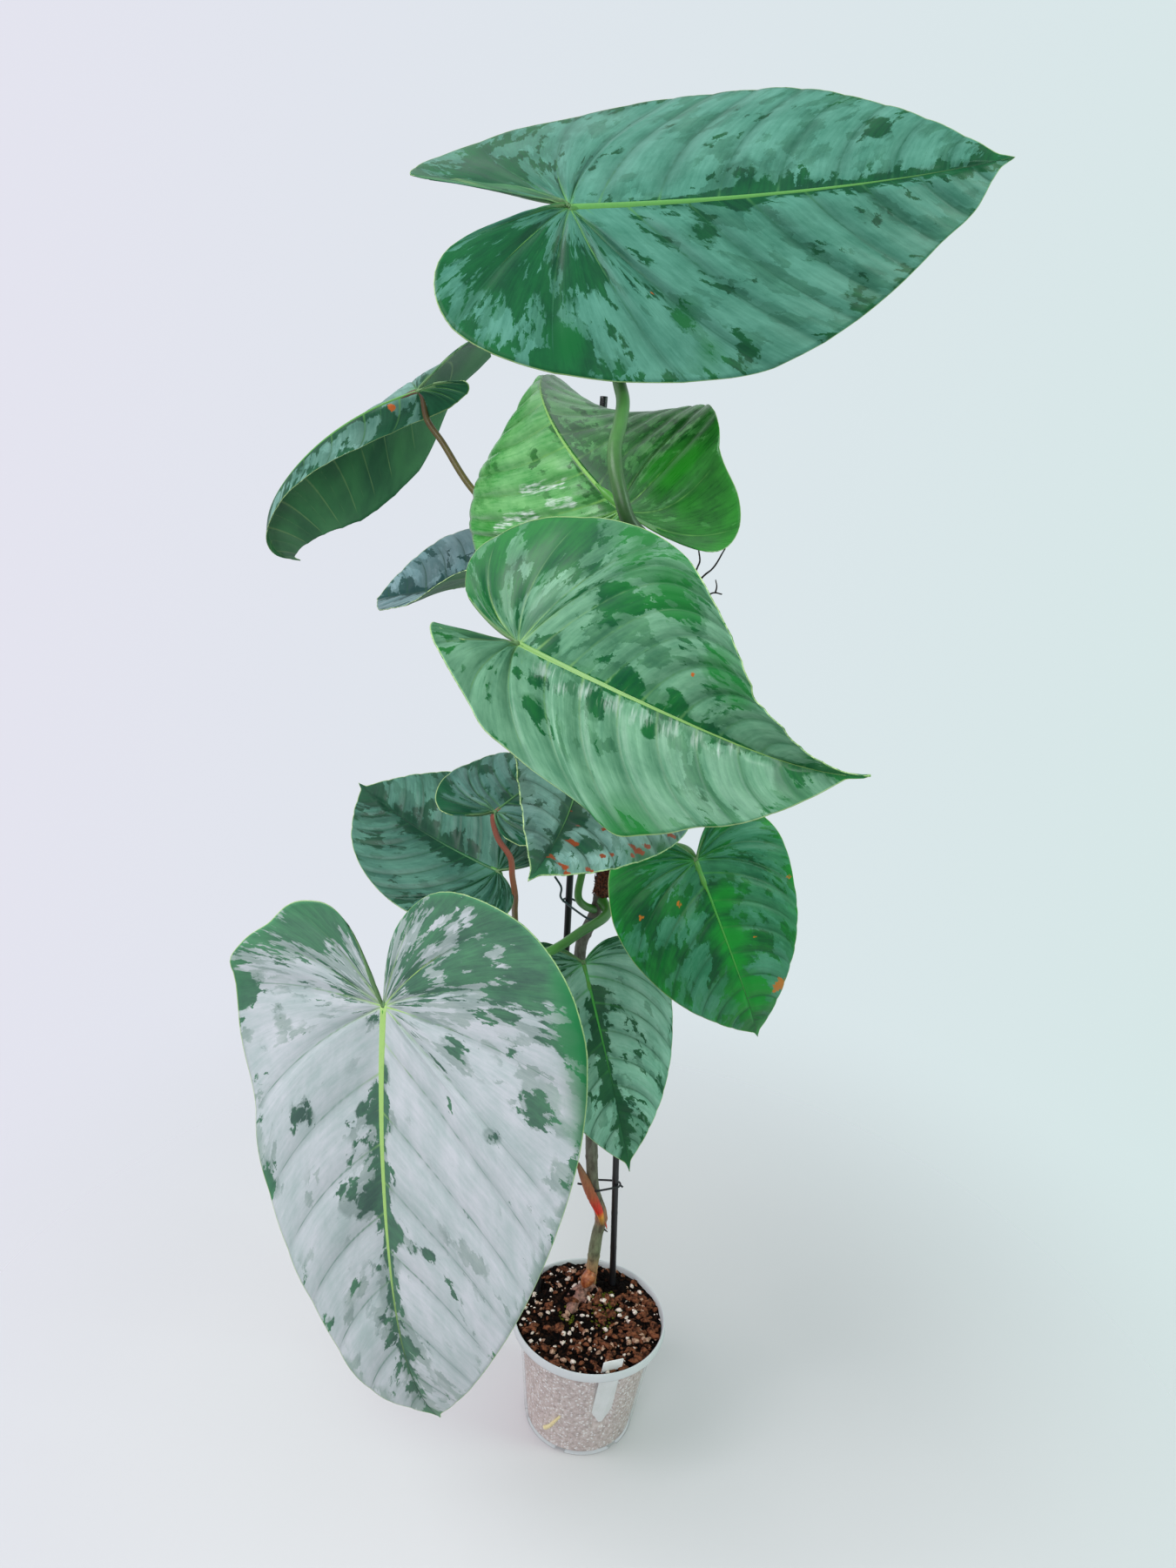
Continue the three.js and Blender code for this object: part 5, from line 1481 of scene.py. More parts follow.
LEAVES = (
    Leaf("leaf_top", (-94, -40, 1031), -74, 8, 51, 315, (120, 115), (95, 90), 60, (1, 0.9), (42, 6),
         0, -5, 5, (-15, -15), (-40, -25), -10, 25, (3, 3), 5,
         ((1, -4, 776), (-3, -30, 800), (-9, -58, 818), (-18, -80, 832), (-29, -92, 840), (-38, -96, 849),
          (-43.5, -97, 861), (-49.5, -91, 879), (-51.5, -80, 892), (-49.6, -66, 905), (-49, -52, 919),
          (-53, -38, 931), (-62, -14, 962), (-76, 2, 1000), (-86, -12, 1022)),
         TOP_LOOK, "silver_leaf", seed=1),
    Leaf("leaf_upper_left", (-207.7, 95, 906.8), 84, -21, -54, 258, (21, 132), (39, 20), -18, (1, 0.93),
         (3, 18), 57, 142, -160, (-47, -27), (-42, -105), -23, 93, (2, 3), 3.2,
         ((-1.3, 14, 704), (-28, 48, 728), (-70, 70, 766), (-120, 82, 806), (-161.4, 88, 839.7),
          (-186.8, 97, 871), (-199.3, 98, 886.2)),
         UPPER_LEFT_LOOK, "green_leaf", seed=2),
    Leaf("leaf_upper_middle", (-42.6, -65, 851.8), 64, 33, -78, 234, (114, 127), (55, 62), 90, (1.02, 1.53),
         (10, 21), 84, 41, 9, (-11, -81), (-16, 120), 21, -7, (3, 3), 4,
         ((0.5, 5, 744), (-10, -6, 770), (-26, -30, 806), (-38, -50, 836)),
         UPPER_MIDDLE_LOOK, "green_leaf", seed=3),
    Leaf("leaf_centre", (-99, -140, 773), -116, -13, 33, 228, (98, 77), (65, 42), 102, (0.82, 0.64), (8, 42),
         -10, -55, -20, (30, 21), (11, 8), 2, 83, (3, 4), 4,
         ((-8.5, 26, 652), (-24, -2, 686), (-44, -46, 716), (-68, -92, 738), (-88, -124, 760)),
         CENTRE_LOOK, "silver_leaf", drip=11, seed=4),
    Leaf("leaf_front", (-172, -155, 516), 185, -82, 27, 365, (160, 105), (105, 70), -10, (0.9, 0.7), (3, 18),
         10, 70, -25, (10, 20), (-20, -30), -10, -15, (4, 3), 3.8,
         ((-28, 40, 520), (-22, 22, 516), (-43, -20, 517), (-63, -50, 515), (-108, -95, 514),
          (-150, -136, 516)),
         FRONT_LOOK, "silver_leaf", seed=5),
    Leaf("leaf_left", (-113, 0, 554), 57, 3, -44, 180, (70, 70), (35, 40), 30, (1, 0.9), (8, 12),
         10, -5, -10, (20, 10), (-5, -15), 15, 0, (2, 3), 3,
         ((-39, 40, 442), (-60, 44, 446), (-84, 42, 464), (-104, 30, 494), (-112, 12, 530)),
         LEFT_LOOK, "silver_leaf", seed=6),
    Leaf("leaf_small", (-114, -50, 624), -24, 8, 14, 128, (50, 55), (30, 25), 20, (1, 1), (12, 12),
         15, 10, -5, (5, 5), (-25, -25), 0, 5, (1.5, 3), 2.8,
         ((-36, 40, 424), (-60, 38, 430), (-84, 28, 458), (-94, 8, 496), (-96, -12, 526), (-96, -24, 546),
          (-99, -30, 565), (-101, -35, 582), (-111, -42, 600), (-115, -48, 616)),
         SMALL_LOOK, "silver_leaf", seed=7),
    Leaf("leaf_behind_centre", (-56, -54, 680), 183, -6, -35, 195, (85, 78), (43, 43), 24, (1, 1), (8, 8),
         6, 2, -10, (23, 17), (4, -8), 16, 0, (2, 3), 3,
         ((-31, 40, 509), (-41, 25, 519), (-47, 12, 533), (-46, 7, 554), (-40, 6, 590), (-38, -4, 624),
          (-50, -34, 660)),
         BEHIND_LOOK, "silver_leaf", seed=8),
    Leaf("leaf_right", (38, -45, 599), 240, -59, 39, 180, (75, 75), (30, 30), 25, (0.9, 0.8), (14, 10),
         45, 5, -10, (0, -15), (-30, 0), -15, 5, (2.5, 3), 3.2,
         ((-20, 37, 562), (-4, 24, 574), (16, 0, 590), (32, -28, 600)),
         RIGHT_LOOK, "green_leaf", seed=9),
    Leaf("leaf_lower", (-37, 5, 476), 213, -52, 15, 175, (66, 68), (16, 25), 20, (0.9, 0.9), (10, 20),
         30, 10, -10, (10, -5), (-15, -25), -5, 0, (2, 3), 3,
         ((-31, 39, 400), (-33, 26, 412), (-36, 20, 436), (-37, 14, 462)),
         LOWER_LOOK, "silver_leaf", seed=10),
    Leaf("leaf_behind_left", (-118, 110, 771.6), 49, -19, -22, 194, (76, 76), (42, 42), 21, (1, 1.1), (8, 8),
         -5, 10, -10, (25, 20), (-10, -20), 0, -25, (2, 3), 3,
         ((-11, 30, 622), (-30, 62, 642), (-52, 98, 684), (-92, 106, 738)),
         STRIP_LOOK, "silver_leaf", drip=2, seed=11),
)


def height_point(points: Sequence[Point], height: float) -> Array:
    """The point of a rising curve at a height."""
    samples = curve_points(points)
    return points_at(height, samples[:, 2], samples)


def tapered(start: float, end: float) -> Along:
    """A radius that runs evenly from one value to another."""
    return lambda share: start + (end - start) * share


def facing(turn: float) -> tuple[Array, Array]:
    """The outward and the sideways direction at a turn round the pot's axis, in degrees."""
    angle = math.radians(turn)
    return np.array([math.cos(angle), math.sin(angle), 0]), np.array([-math.sin(angle), math.cos(angle), 0])


@dataclass
class ClimbingStem:
    """The stem with its scars, root crown, aerial roots, old sheath and fibres."""

    radius: float = 5.5
    taper: float = 0.8
    ring_step: float = 0.55
    swell: float = 0.35
    threads: int = 190
    thread_seed: int = 31
    clump_heights: Pair = (524, 558)

    def stem(self) -> Object:
        """The stem: a tube that swells at each leaf scar, with its crown and roots."""
        samples = curve_points(STEM_PATH)
        run = run_along(samples)
        scars = np.interp(STEM_RING_HEIGHTS, samples[:, 2], run / run[-1])

        def radius(share: Array) -> Array:
            """The stem's radius, with a ring and a swelling at each scar, and a rounded tip."""
            wide = self.radius - self.taper * share
            for scar in scars:
                wide = wide + self.ring_step * bell(share, scar, 0.003)
                wide = wide + self.swell * bell(share, scar + 0.012, 0.012)
            return wide * (1 - 0.7 * smooth(0.985, 1.0, share))

        def crown(share: Array) -> Array:
            """The crown's knobbly radius."""
            return 6.6 * (1 - 0.3 * share) * (1 + 0.16 * np.sin(17 * share + 1))

        def bud(share: Array) -> Array:
            """The bud's rounded radius."""
            return 6.4 * np.sin(np.pi * (0.25 + 0.65 * share))

        shape = Shape()
        shape.tube(STEM_PATH, radius, 24, 520, rough=0.02, seed=3)
        aerial = tapered(1.05, 0.55)
        # Route, radius, sides, steps, place, unevenness and its draw.
        parts = (
            (((4, 38, 183), (7.5, 36.5, 182.5), (10.5, 35, 181.5)),
             tapered(1.7, 0.34), 8, 8, StemPlace.ROOT, 0, 0),
            (((1, -4, 776), (12, -1, 798), (16, 0, 809), (17, 0, 813), (15, 0, 822)),
             aerial, 9, 36, StemPlace.ROOT, 0.12, 5),
            (((1, -2, 768), (12, 0, 790), (21.7, 0, 803.6), (27, 0, 809), (34, 0, 824)),
             aerial, 9, 36, StemPlace.ROOT, 0.12, 5),
            (((1, 2, 754), (16, 2, 776), (29, 1, 791), (36, 0, 791)), aerial, 9, 36, StemPlace.ROOT, 0.12, 5),
            (((31, 1, 791), (31.5, 0.5, 796), (30, 0, 801)), tapered(0.7, 0.4), 8, 8, StemPlace.ROOT, 0, 0),
            (((-2, 34, 119), (-7, 26, 118), (-12, 16, 115), (-17, 6, 113), (-19, 0, 108)),
             crown, 22, 60, StemPlace.CROWN, 0.09, 8),
            (((-10, 22, 116), (-3, 14, 116), (1, 6, 112)),
             tapered(4.0, 2.6), 16, 26, StemPlace.CROWN, 0.09, 18),
            (((0, 35, 134), (-3, 31, 129), (-7, 27, 121)), bud, 18, 24, StemPlace.BUD, 0.05, 9),
            (((-4, 30, 124), (-14, 25, 121), (-22, 21, 113)),
             tapered(2.6, 1.5), 12, 22, StemPlace.CROWN, 0.1, 20),
            (((2, 33, 119), (7, 28, 117), (10, 24, 109)),
             tapered(2.6, 1.5), 12, 22, StemPlace.CROWN, 0.1, 21),
        )
        for route, wide, sides, steps, place, rough, seed in parts:
            shape.tube(route, wide, sides, steps, place, rough=rough, seed=seed)
        finishes = (StemBark(), ROOT_SKIN, CROWN_SKIN, BUD_SKIN)
        return shape.piece("stem_body", [finish.material() for finish in finishes])

    def sheath(self) -> Object:
        """The old sheath across the front of the stem."""
        def radius(share: Array) -> Array:
            """The sheath's radius, full in its middle."""
            return 4.6 * (0.3 + 0.7 * np.sin(np.pi * np.clip(share, 0.02, 0.9)) ** 0.7)

        path = ((-24, 34, 256), (-19, 31.5, 247), (-9, 30.5, 226), (0, 30.5, 208), (5, 31, 194))
        shape = Shape()
        shape.tube(path, radius, 22, 70, rough=0.05, seed=12)
        shape.tube(((3, 31, 199), (7, 29.5, 196), (9, 29, 190)), tapered(1.3, 0.4), 10, 12)
        return shape.piece("stem_sheath_skin", [DrySheath().material()])

    def fibres(self) -> Object:
        """The clump of fibres: a rough core wrapped in many short threads."""
        draw = np.random.default_rng(self.thread_seed)
        low, high = (height_point(STEM_PATH, height) for height in self.clump_heights)
        core = (low, (low + high) / 2, high)
        shape = Shape()
        shape.tube(core, lambda t: 9.2 - 3.2 * np.abs(2 * t - 1), 26, 30, rough=0.12, seed=13)
        for _ in range(self.threads):
            share = draw.uniform(0.02, 0.95)
            centre = low + (high - low) * share
            angle, turn = draw.uniform(0, FULL_TURN), draw.uniform(-0.9, 0.9)
            reach = 8.2 - 2.6 * abs(2 * share - 1)
            rise = draw.uniform(-9, 9)
            points = []
            for part, bulge in ((0.0, -1.2), (0.5, draw.uniform(0.8, 2.0)), (1.0, draw.uniform(-0.4, 3.2))):
                out, _side = facing(math.degrees(angle + turn * part))
                points.append(centre + out * (reach + bulge) + np.array([0, 0, rise * (part - 0.5)]))
            shape.tube(points, tapered(0.62, 0.27), 5, 8)
        return shape.piece("fibre_threads", [FIBRE.material()])

    def build(self) -> None:
        """Builds and settles the stem's pieces."""
        settle(self.stem(), "stem_bark", "stem")
        settle(self.sheath(), "dry_sheath", "stem_sheath")
        settle(self.fibres(), "brown_fibre", "fibre_clump")


@dataclass
class Supports:
    """The two stakes and the wire ties."""

    stake_radius: float = 3.0
    band_step: float = 40.0
    band_half: float = 1.2
    band_rise: float = 0.06
    wire_radius: float = 0.95
    round_stem: float = 7.7
    round_stake: float = 4.7
    lower_height: float = 230.0
    upper_height: float = 503.0

    def stake(self, name: str, path: Sequence[Point]) -> Object:
        """A coated stake with a square-cut top and faint moulding bands."""
        length = math.dist(path[0], path[-1])

        def radius(share: Array) -> Array:
            """The stake's radius with its bands."""
            band = bell((share * length) % self.band_step, self.band_step / 2, self.band_half)
            return self.stake_radius * (1 + self.band_rise * band)

        shape = Shape()
        shape.tube(path, radius, 24, int(length / 1.6))
        return shape.piece(name, [STAKE_PLASTIC.material()])

    def tie(
        self, name: str, path: Sequence[Point], height: float, tails: Sequence[Sequence[Point]],
        finish: Finish,
    ) -> Object:
        """A wire hoop round the stem and a stake, with loose tails.

        Args:
            name: The piece's name.
            path: The stake's path.
            height: The tie's height.
            tails: The points of its loose ends.
            finish: The wire's finish.

        Returns:
            The piece.
        """
        stem, stake = height_point(STEM_PATH, height), height_point(path, height)
        to_stake = math.degrees(math.atan2(stake[1] - stem[1], stake[0] - stem[0]))
        arcs = ((stem, self.round_stem, to_stake + 90), (stake, self.round_stake, to_stake - 90))
        loop = []
        for centre, reach, start in arcs:
            for turn in np.linspace(start, start + 180, 7):
                x, y, _level = centre + facing(turn)[0] * reach
                loop.append((x, y, height))
        wire = tapered(self.wire_radius, self.wire_radius)
        shape = Shape()
        shape.tube(loop, wire, 12, 120, closed=True)
        for tail in tails:
            shape.tube(tail, wire, 12, 30)
        return shape.piece(name, [finish.material()])

    def build(self) -> None:
        """Builds and settles the stakes and ties."""
        settle(self.stake("tall_stake_tube", TALL_STAKE), "black_stake", "tall_stake")
        settle(self.stake("short_stake_tube", SHORT_STAKE), "black_stake", "short_stake")
        lower = (((-15.5, 38, 230), (-22, 36, 232)), ((16.5, 43, 230), (20, 42, 228)))
        upper = (
            ((-59, 62, 503), (-62, 57, 510), (-62, 52, 521), (-68, 50, 531)),
            ((-25, 44, 503), (-20, 46, 510), (-20, 47, 517), (-24, 50, 521)),
        )
        wire = self.tie("lower_tie_wire", SHORT_STAKE, self.lower_height, lower, BLACK_WIRE)
        settle(wire, "black_wire", "lower_tie")
        wire = self.tie("upper_tie_wire", TALL_STAKE, self.upper_height, upper, GREEN_WIRE)
        settle(wire, "green_wire", "upper_tie")


def wall_radius(height: float) -> float:
    """The inner radius of the pot's wall at a height, less a small gap."""
    low = FLOOR_THICKNESS + 1
    share = min(1.0, (height - low) / (POT_HEIGHT - LIP_HEIGHT - NECK_HEIGHT - low))
    return BASE_RADIUS + (BODY_TOP_RADIUS - BASE_RADIUS) * share - POT_WALL - 0.6


@dataclass
class NurseryPot:
    """The milky pot: a thin tapered wall, a rolled lip and drainage slots through its foot."""

    segments: int = 144
    slots: int = 6
    slot_width: float = 9.0
    slot_height: float = 4.0
    slot_sill: float = 4.0
    slot_turn: float = -48.0
    slot_depth: float = 6.0

    def profile(self) -> list[Pair]:
        """The pot's section as (radius, height), from the base's middle round to the floor's middle."""
        base, top, lip, rim = BASE_RADIUS, BODY_TOP_RADIUS, LIP_RADIUS, RIM_INNER
        low = POT_HEIGHT - LIP_HEIGHT
        return [
            (0.01, 0.6), (base - 6, 0.6), (base - 5, 0.0), (base - 1.5, 0.0), (base - 0.5, 0.4), (base, 1.5),
            (base + 0.9, 9.0), (base + 1.2, 9.6),
            (top - 0.6, low - 8), (top, low - NECK_HEIGHT), (top + 0.6, low - 1.6),
            (top + NECK_HEIGHT, low - 0.2),
            (lip - 1.6, low), (lip - 0.5, low + 0.4), (lip, low + 1.5), (lip - 0.6, POT_HEIGHT - 2.6),
            (lip - 0.9, POT_HEIGHT - 0.9), (lip - 1.3, POT_HEIGHT),
            (rim + 1.2, POT_HEIGHT - 0.3), (rim + 0.4, POT_HEIGHT - 1.2), (rim, low + 4),
            (rim - 0.3, low + 1.0), (rim - 1.2, low + 0.4),
            (top - POT_WALL, low - NECK_HEIGHT), (base - POT_WALL, FLOOR_THICKNESS + 1),
            (base - POT_WALL - 1, FLOOR_THICKNESS), (0.01, FLOOR_THICKNESS),
        ]

    def slot_cutter(self) -> Object:
        """The blocks that cut the slots: flat below and rounded on top."""
        half, up = self.slot_width / 2, np.array([0, 0, 1])
        outline = [(-half, -self.slot_sill), (half, -self.slot_sill)]
        for angle in np.linspace(0, np.pi, 9):
            outline.append((half * math.cos(angle), self.slot_height * (0.4 + 0.6 * math.sin(angle))))
        shape = Shape()
        for k in range(self.slots):
            out, side = facing(self.slot_turn + 360 * k / self.slots)
            ends = (BASE_RADIUS - self.slot_depth, BASE_RADIUS + self.slot_depth)
            corners = [out * reach + side * x + up * z for reach in ends for x, z in outline]
            shape.add(np.array(corners), tube_faces(2, len(outline)))
        return shape.piece("slot_cutter", [])

    def build(self) -> None:
        """Turns the section, cuts the slots and settles the pot."""
        section = np.array(self.profile())
        shape = Shape()
        corners = turned(section[:, 0], section[:, 1], self.segments)
        shape.add(corners, tube_faces(len(section), self.segments))
        pot = shape.piece("pot_body", [MilkyWall().material()])
        tool = self.slot_cutter()
        carve = pot.modifiers.new("slots", "BOOLEAN")
        carve.object = tool
        carve.operation = "DIFFERENCE"
        carve.solver = "EXACT"
        bpy.context.view_layer.update()
        carved = bpy.data.meshes.new_from_object(pot.evaluated_get(bpy.context.evaluated_depsgraph_get()))
        pot.modifiers.clear()
        pot.data = carved
        bpy.data.objects.remove(tool)
        settle(pot, "milky_plastic", "pot")


@dataclass
class PottingMix:
    """The mix: a damp bed with a mound, bark chips, perlite and moss, and its side against the wall."""

    sectors: int = 200
    side_rows: int = 30
    rings: int = 44
    seed: int = 23
    notch: float = 3.4
    notch_from: float = 36.0
    ledge_height: float = 107.4
    least_height: float = 110.4
    lump_height: float = 1.3
    charcoal_at: Point = (20, 42)
    charcoal_reach: float = 15.0
    rim_zone: float = 60.0
    rim_height: float = 110.2

    def height(self, x: Array, y: Array) -> Array:
        """The bed's height at a place, with its mound and lumps."""
        away = np.hypot(x - MOUND_AT[0], y - MOUND_AT[1])
        lumps = np.sin(x / 4.1 + 1.3) * np.sin(y / 4.7 + 0.4)
        lumps = lumps + 0.7 * np.sin(x / 2.3 + y / 3.1) * np.sin(y / 2.6 - 0.9)
        return SOIL_LEVEL + 1.6 + SOIL_MOUND * bell(away, 0, MOUND_SPREAD) + self.lump_height * lumps

    def bed(self, shape: Shape) -> None:
        """Adds the bed's side and top, each with its own corners.

        Args:
            shape: The mesh to add to.
        """
        draw = np.random.default_rng(self.seed)
        angle, even = ring_angles(self.sectors), np.ones(self.sectors)
        # The mix stands back behind the label, which lies against the wall.
        from_label = np.abs(np.degrees(np.angle(np.exp(1j * (angle - math.radians(LABEL_TURN))))))
        notch = self.notch * smooth(11.5, 9.5, from_label)
        radii, heights = [], []
        for height in np.linspace(FLOOR_THICKNESS + 0.3, SOIL_LEVEL - 4, self.side_rows):
            reach = wall_radius(height) - notch * (height > self.notch_from)
            radii.append(reach - draw.uniform(0, 0.25, self.sectors))
            heights.append(even * height)
        radii.append(even * (wall_radius(SOIL_LEVEL) - 0.6))
        heights.append(even * self.ledge_height)
        for share in np.linspace(1, 0.004, self.rings):
            reach = MIX_RADIUS * share
            level = self.height(reach * np.cos(angle), reach * np.sin(angle))
            radii.append(even * reach)
            heights.append(np.maximum(level + draw.uniform(-0.5, 0.5, self.sectors), self.least_height))
        corners = turned(np.array(radii), np.array(heights), self.sectors)
        faces = tube_faces(len(radii), self.sectors)
        side = (self.side_rows + 1) * self.sectors
        shape.add(corners, faces[:side], MixPlace.WALL)
        top = [tuple(i - side for i in face) for face in faces[side:-2]]
        shape.add(corners[side:], top, MixPlace.COMPOST)

    def grain(
        self, shape: Shape, draw: np.random.Generator, at: Point, size: Point, place: MixPlace, sunk: float,
    ) -> None:
        """Adds one broken grain.

        Args:
            shape: The mesh to add to.
            draw: The seeded draw.
            at: Its place across the bed.
            size: Its three half sizes.
            place: Its material place.
            sunk: How far its middle lies above the bed, in half sizes.
        """
        heading, tilt = draw.uniform(0, 6.28), draw.uniform(-0.7, 0.7)
        turn = np.array(Matrix.Rotation(heading, 3, "Z") @ Matrix.Rotation(tilt, 3, "X"))
        rows, sides = 4, 7
        points = []
        for i in range(rows):
            level, wide = math.cos(math.pi * (i + 0.6) / rows), math.sin(math.pi * (i + 0.6) / rows)
            for k in range(sides):
                a, out = FULL_TURN * (k + 0.5 * i) / sides, wide * draw.uniform(0.55, 1.25)
                points.append((out * math.cos(a), out * math.sin(a), level * draw.uniform(0.8, 1.1)))
        corners = np.array(points) * np.asarray(size, float) @ turn.T
        level = float(self.height(np.array(at[0]), np.array(at[1])))
        corners = corners + np.array([at[0], at[1], level + sunk * min(size)])
        # A grain at the rim stays inside it and above the wall's top.
        reach = np.hypot(corners[:, 0], corners[:, 1])
        corners[:, :2] *= np.minimum(1, MIX_RADIUS / np.maximum(reach, 1e-6))[:, None]
        at_rim = reach > self.rim_zone
        corners[at_rim, 2] = np.maximum(corners[at_rim, 2], self.rim_height)
        shape.add(corners, [face[::-1] for face in tube_faces(rows, sides)], place)

    def build(self) -> None:
        """Builds and settles the mix."""
        shape = Shape()
        self.bed(shape)
        draw = np.random.default_rng(self.seed + 1)
        limit = MIX_RADIUS - 2
        # Count, sizes, shape, material place, how far it stands up, and how much it gathers on the right.
        kinds = (
            (380, (2.2, 6.5), (0.6, 0.4), MixPlace.BARK, 0.35, 0.6),
            (150, (1.2, 4.4), (0.7, 0.5), MixPlace.PALE_BARK, 0.5, 0.1),
            (170, (0.8, 3.5), (0.7, 0.6), MixPlace.PERLITE, 0.5, -0.3),
            (170, (2.0, 5.0), (0.8, 0.6), MixPlace.CHARCOAL, 0.05, -0.7),
        )
        for count, (small, large), (narrow, thin), place, sunk, gather in kinds:
            for _ in range(count):
                reach, angle = limit * math.sqrt(draw.uniform(0, 1)), draw.uniform(0, FULL_TURN)
                if draw.uniform(-1, 1) < -gather * math.cos(angle):
                    angle = math.pi - angle
                at = (reach * math.cos(angle), reach * math.sin(angle))
                charred = math.dist(at, self.charcoal_at) < self.charcoal_reach
                kind = MixPlace.CHARCOAL if charred else place
                size = small + (large - small) * draw.uniform(0, 1) ** 2
                self.grain(shape, draw, at, (size, size * narrow, size * thin), kind, sunk)
        # Cushions of moss: middle, spread and count.
        for x0, y0, spread, count in ((12.0, 22.0, 9.0, 90), (14.0, 2.0, 12.0, 60), (-20.0, -6.0, 7.0, 36)):
            for _ in range(count):
                at = (x0 + spread * draw.normal() * 0.6, y0 + spread * draw.normal() * 0.6)
                if math.hypot(*at) < limit:
                    size = draw.uniform(0.8, 2.2)
                    self.grain(shape, draw, at, (size, size * 0.8, size * 0.6), MixPlace.MOSS, 0.0)
        # A pale root lies against the wall.
        root = ((-30.4, -40.2, 19), (-26.5, -44.2, 26), (-22.8, -48.4, 36), (-18.6, -51.6, 46))
        shape.tube(root, tapered(2.2, 1.1), 10, 24, MixPlace.ROOT, rough=0.08, seed=4)
        finishes = (COMPOST, BARK, PALE_BARK, PERLITE, WallMix(), MOSS, CHARCOAL, WALL_ROOT)
        bed = shape.piece("potting_mix_bed", [finish.material() for finish in finishes])
        settle(bed, "bark_mix", "potting_mix")


@dataclass
class PlantLabel:
    """The label: a bare white strip with eased corners, which leans with the wall and outward at its head."""

    width: float = 19.0
    length: float = 86.0
    point: float = 14.0
    thickness: float = 0.8
    corner: float = 1.6
    top: float = 126.0
    lean_out: float = 4.6
    hollow: float = 0.012

    def build(self) -> None:
        """Builds and settles the label."""
        half, corner, up = self.width / 2, self.corner, np.array([0, 0, 1])
        outline = [
            (half - corner + corner * math.sin(a), -corner + corner * math.cos(a))
            for a in np.linspace(0, math.pi / 2, 6)
        ]
        outline += [(half, -self.length + self.point), (1.5, -self.length)]
        outline += [(-x, z) for x, z in reversed(outline)]
        lean = math.atan((BODY_TOP_RADIUS - BASE_RADIUS) / (POT_HEIGHT - LIP_HEIGHT))
        reach = wall_radius(self.top) - 2.2 + (self.top - SOIL_LEVEL) * math.tan(lean)
        out, side = facing(LABEL_TURN)
        corners = []
        for depth, inset in ((-0.5, 0.25), (-0.3, 0.0), (0.3, 0.0), (0.5, 0.25)):
            for x, z in outline:
                x = x * (1 - inset / half)
                z = z if -z < inset else z + math.copysign(inset, -z - self.length / 2)
                height = self.top + z * math.cos(lean)
                out_by = reach + depth * self.thickness + z * math.sin(lean) - self.hollow * x * x
                out_by += self.lean_out * float(smooth(100, 124, np.array(height)))
                corners.append(out * out_by + side * x + up * height)
        shape = Shape()
        shape.add(np.array(corners), tube_faces(4, len(outline)))
        label = shape.piece("plant_label_strip", [LABEL_PLASTIC.material()], flat=True)
        settle(label, "white_plastic", "plant_label")


@dataclass(frozen=True)
class FloorPaper(Finish):
    """Seamless matte paper, which thins out to nothing far from the plant, so that no edge shows."""

    name: str = "floor_paper"
    near: float = 0.2
    far: float = 0.9
    cloud_mm: float = 330.0

    def paint(self, tree: NodeTree) -> Node:
        """Builds the tone and the fade."""
        add = partial(add_node, tree)
        place = add("TexCoord").outputs["Object"]
        away = add("VectorMath", {"operation": "LENGTH"}, {0: place}).outputs["Value"]
        fade = {"From Min": self.far, "From Max": self.near, "interpolation_type": "SMOOTHSTEP"}
        shown = add("MapRange", fade, {"Value": away})
        cloud = add("TexNoise", {"Scale": 1 / (self.cloud_mm * MM), "Detail": 2.0}, {"Vector": place})
        colour = add("MixRGB", {"Color1": linear("c6c4c4"), "Color2": linear("ccc9c9")}, {"Fac": cloud})
        matte = {"Roughness": 0.9, "Specular IOR Level": 0.2}
        return add("BsdfPrincipled", matte, {"Base Color": colour, "Alpha": shown})


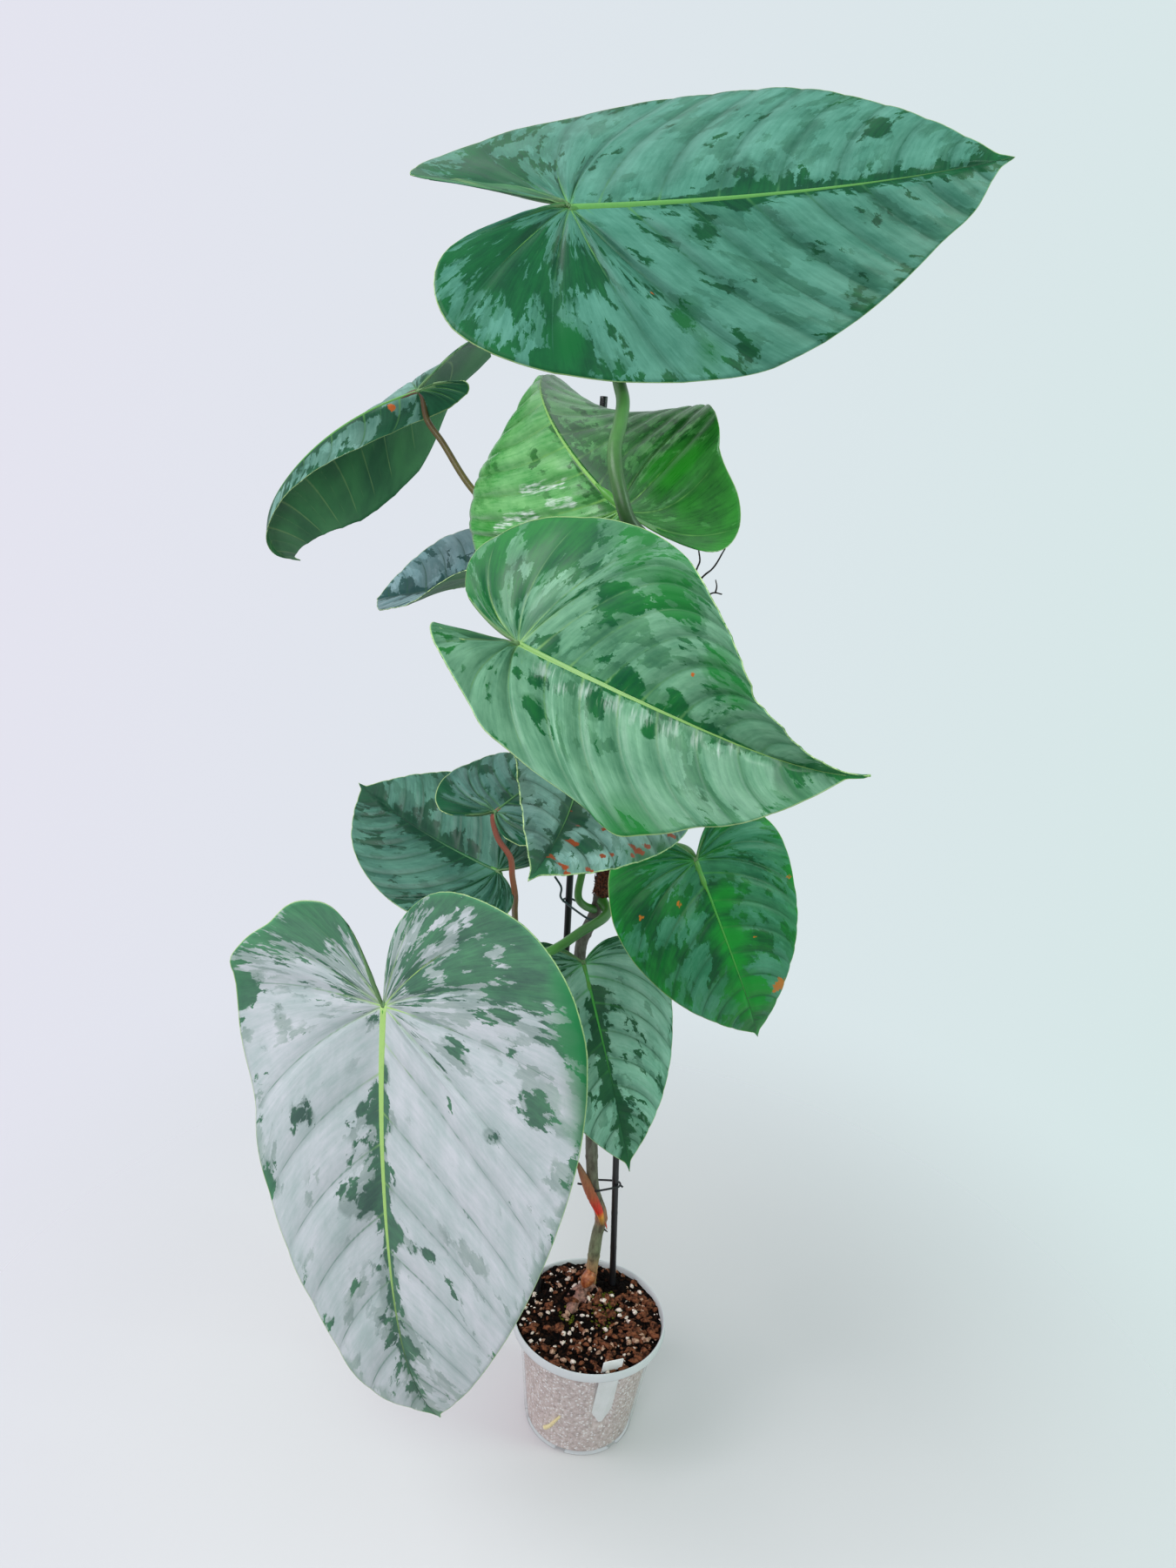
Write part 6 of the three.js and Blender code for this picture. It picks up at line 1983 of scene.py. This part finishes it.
@dataclass
class Studio:
    """The pale floor, the soft light and the camera."""

    eye: Point = (-0.0478, -0.8549, 0.946)
    pitch: float = 20.0
    roll: float = -5.5
    lens: float = 27.03
    dim: float = 0.54
    bright: float = 0.96

    def floor(self) -> None:
        """A wide pale floor."""
        rows, sides = 12, 96
        middle = tuple(range((rows - 1) * sides, rows * sides))
        shape = Shape()
        corners = turned(np.linspace(2400, 200, rows), np.zeros(rows), sides)
        shape.add(corners, [*tube_faces(rows, sides)[:-2], middle])
        shape.piece("studio_floor", [FloorPaper().material()])

    def light(self, name: str, place: Point, aim: Point, size: float, power: float, tint: str) -> None:
        """A soft square light.

        Args:
            name: The light's name.
            place: Where it hangs, in metres.
            aim: The point it faces.
            size: Its side, in metres.
            power: Its watts.
            tint: Its colour.
        """
        data = bpy.data.lights.new(name, "AREA")
        data.shape = "SQUARE"
        data.size = size
        data.energy = power
        data.color = linear(tint)[:3]
        lamp = bpy.data.objects.new(name, data)
        lamp.location = place
        lamp.rotation_euler = (Vector(aim) - Vector(place)).to_track_quat("-Z", "Y").to_euler()
        bpy.context.scene.collection.objects.link(lamp)

    def camera(self) -> None:
        """The camera at the photograph's place and turn."""
        data = bpy.data.cameras.new("camera")
        data.sensor_width = 36
        data.lens = self.lens
        data.clip_start = 0.02
        camera = bpy.data.objects.new("camera", data)
        upright = Matrix.Rotation(math.radians(90 - self.pitch), 4, "X")
        turn = upright @ Matrix.Rotation(math.radians(-self.roll), 4, "Z")
        camera.matrix_world = Matrix.Translation(self.eye) @ turn
        bpy.context.scene.collection.objects.link(camera)
        bpy.context.scene.camera = camera

    def air(self) -> World:
        """The light all round: faintly lilac on the left, mint on the right and brighter behind the plant."""
        world = bpy.data.worlds.new("studio_air")
        world.use_nodes = True
        world.node_tree.nodes.clear()
        add = partial(add_node, world.node_tree)
        toward = add("SeparateXYZ", None, {0: add("TexCoord").outputs["Generated"]})
        swing = add("MapRange", {"From Min": -0.5, "From Max": 0.6}, {"Value": toward.outputs["X"]})
        tint = add("MixRGB", {"Color1": linear("e9e8f4"), "Color2": linear("d8ecea")}, {"Fac": swing})
        # It is dimmer on the other sides, which keeps the leaves' relief.
        levels = {"From Min": -0.3, "From Max": 0.5, "To Min": self.dim, "To Max": self.bright}
        behind = add("MapRange", levels, {"Value": toward.outputs["Y"]})
        add("OutputWorld", None, {"Surface": add("Background", None, {"Color": tint, "Strength": behind})})
        return world

    def build(self) -> None:
        """Sets the world, floor, lights and camera."""
        scene = bpy.context.scene
        scene.view_settings.view_transform = "Standard"
        scene.world = self.air()
        self.floor()
        self.light("soft_key", (-1.6, -0.9, 2.45), (-0.05, 0, 0.6), 1.7, 58.0, "fbfaff")
        self.light("soft_front", (-0.5, -2.3, 1.5), (-0.05, 0, 0.5), 1.5, 30.0, "f6f6ff")
        self.light("soft_side", (1.9, -0.4, 1.6), (0, 0, 0.6), 0.8, 18.0, "dcffee")
        self.camera()


def main() -> None:
    """Builds the studio and the plant."""
    logging.basicConfig(level=logging.INFO, format="%(message)s")
    for part in (Studio(), NurseryPot(), PottingMix(), PlantLabel(), ClimbingStem(), Supports()):
        part.build()
    for leaf in LEAVES:
        LeafMaker(leaf).build()
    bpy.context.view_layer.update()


if __name__ == "__main__":
    main()
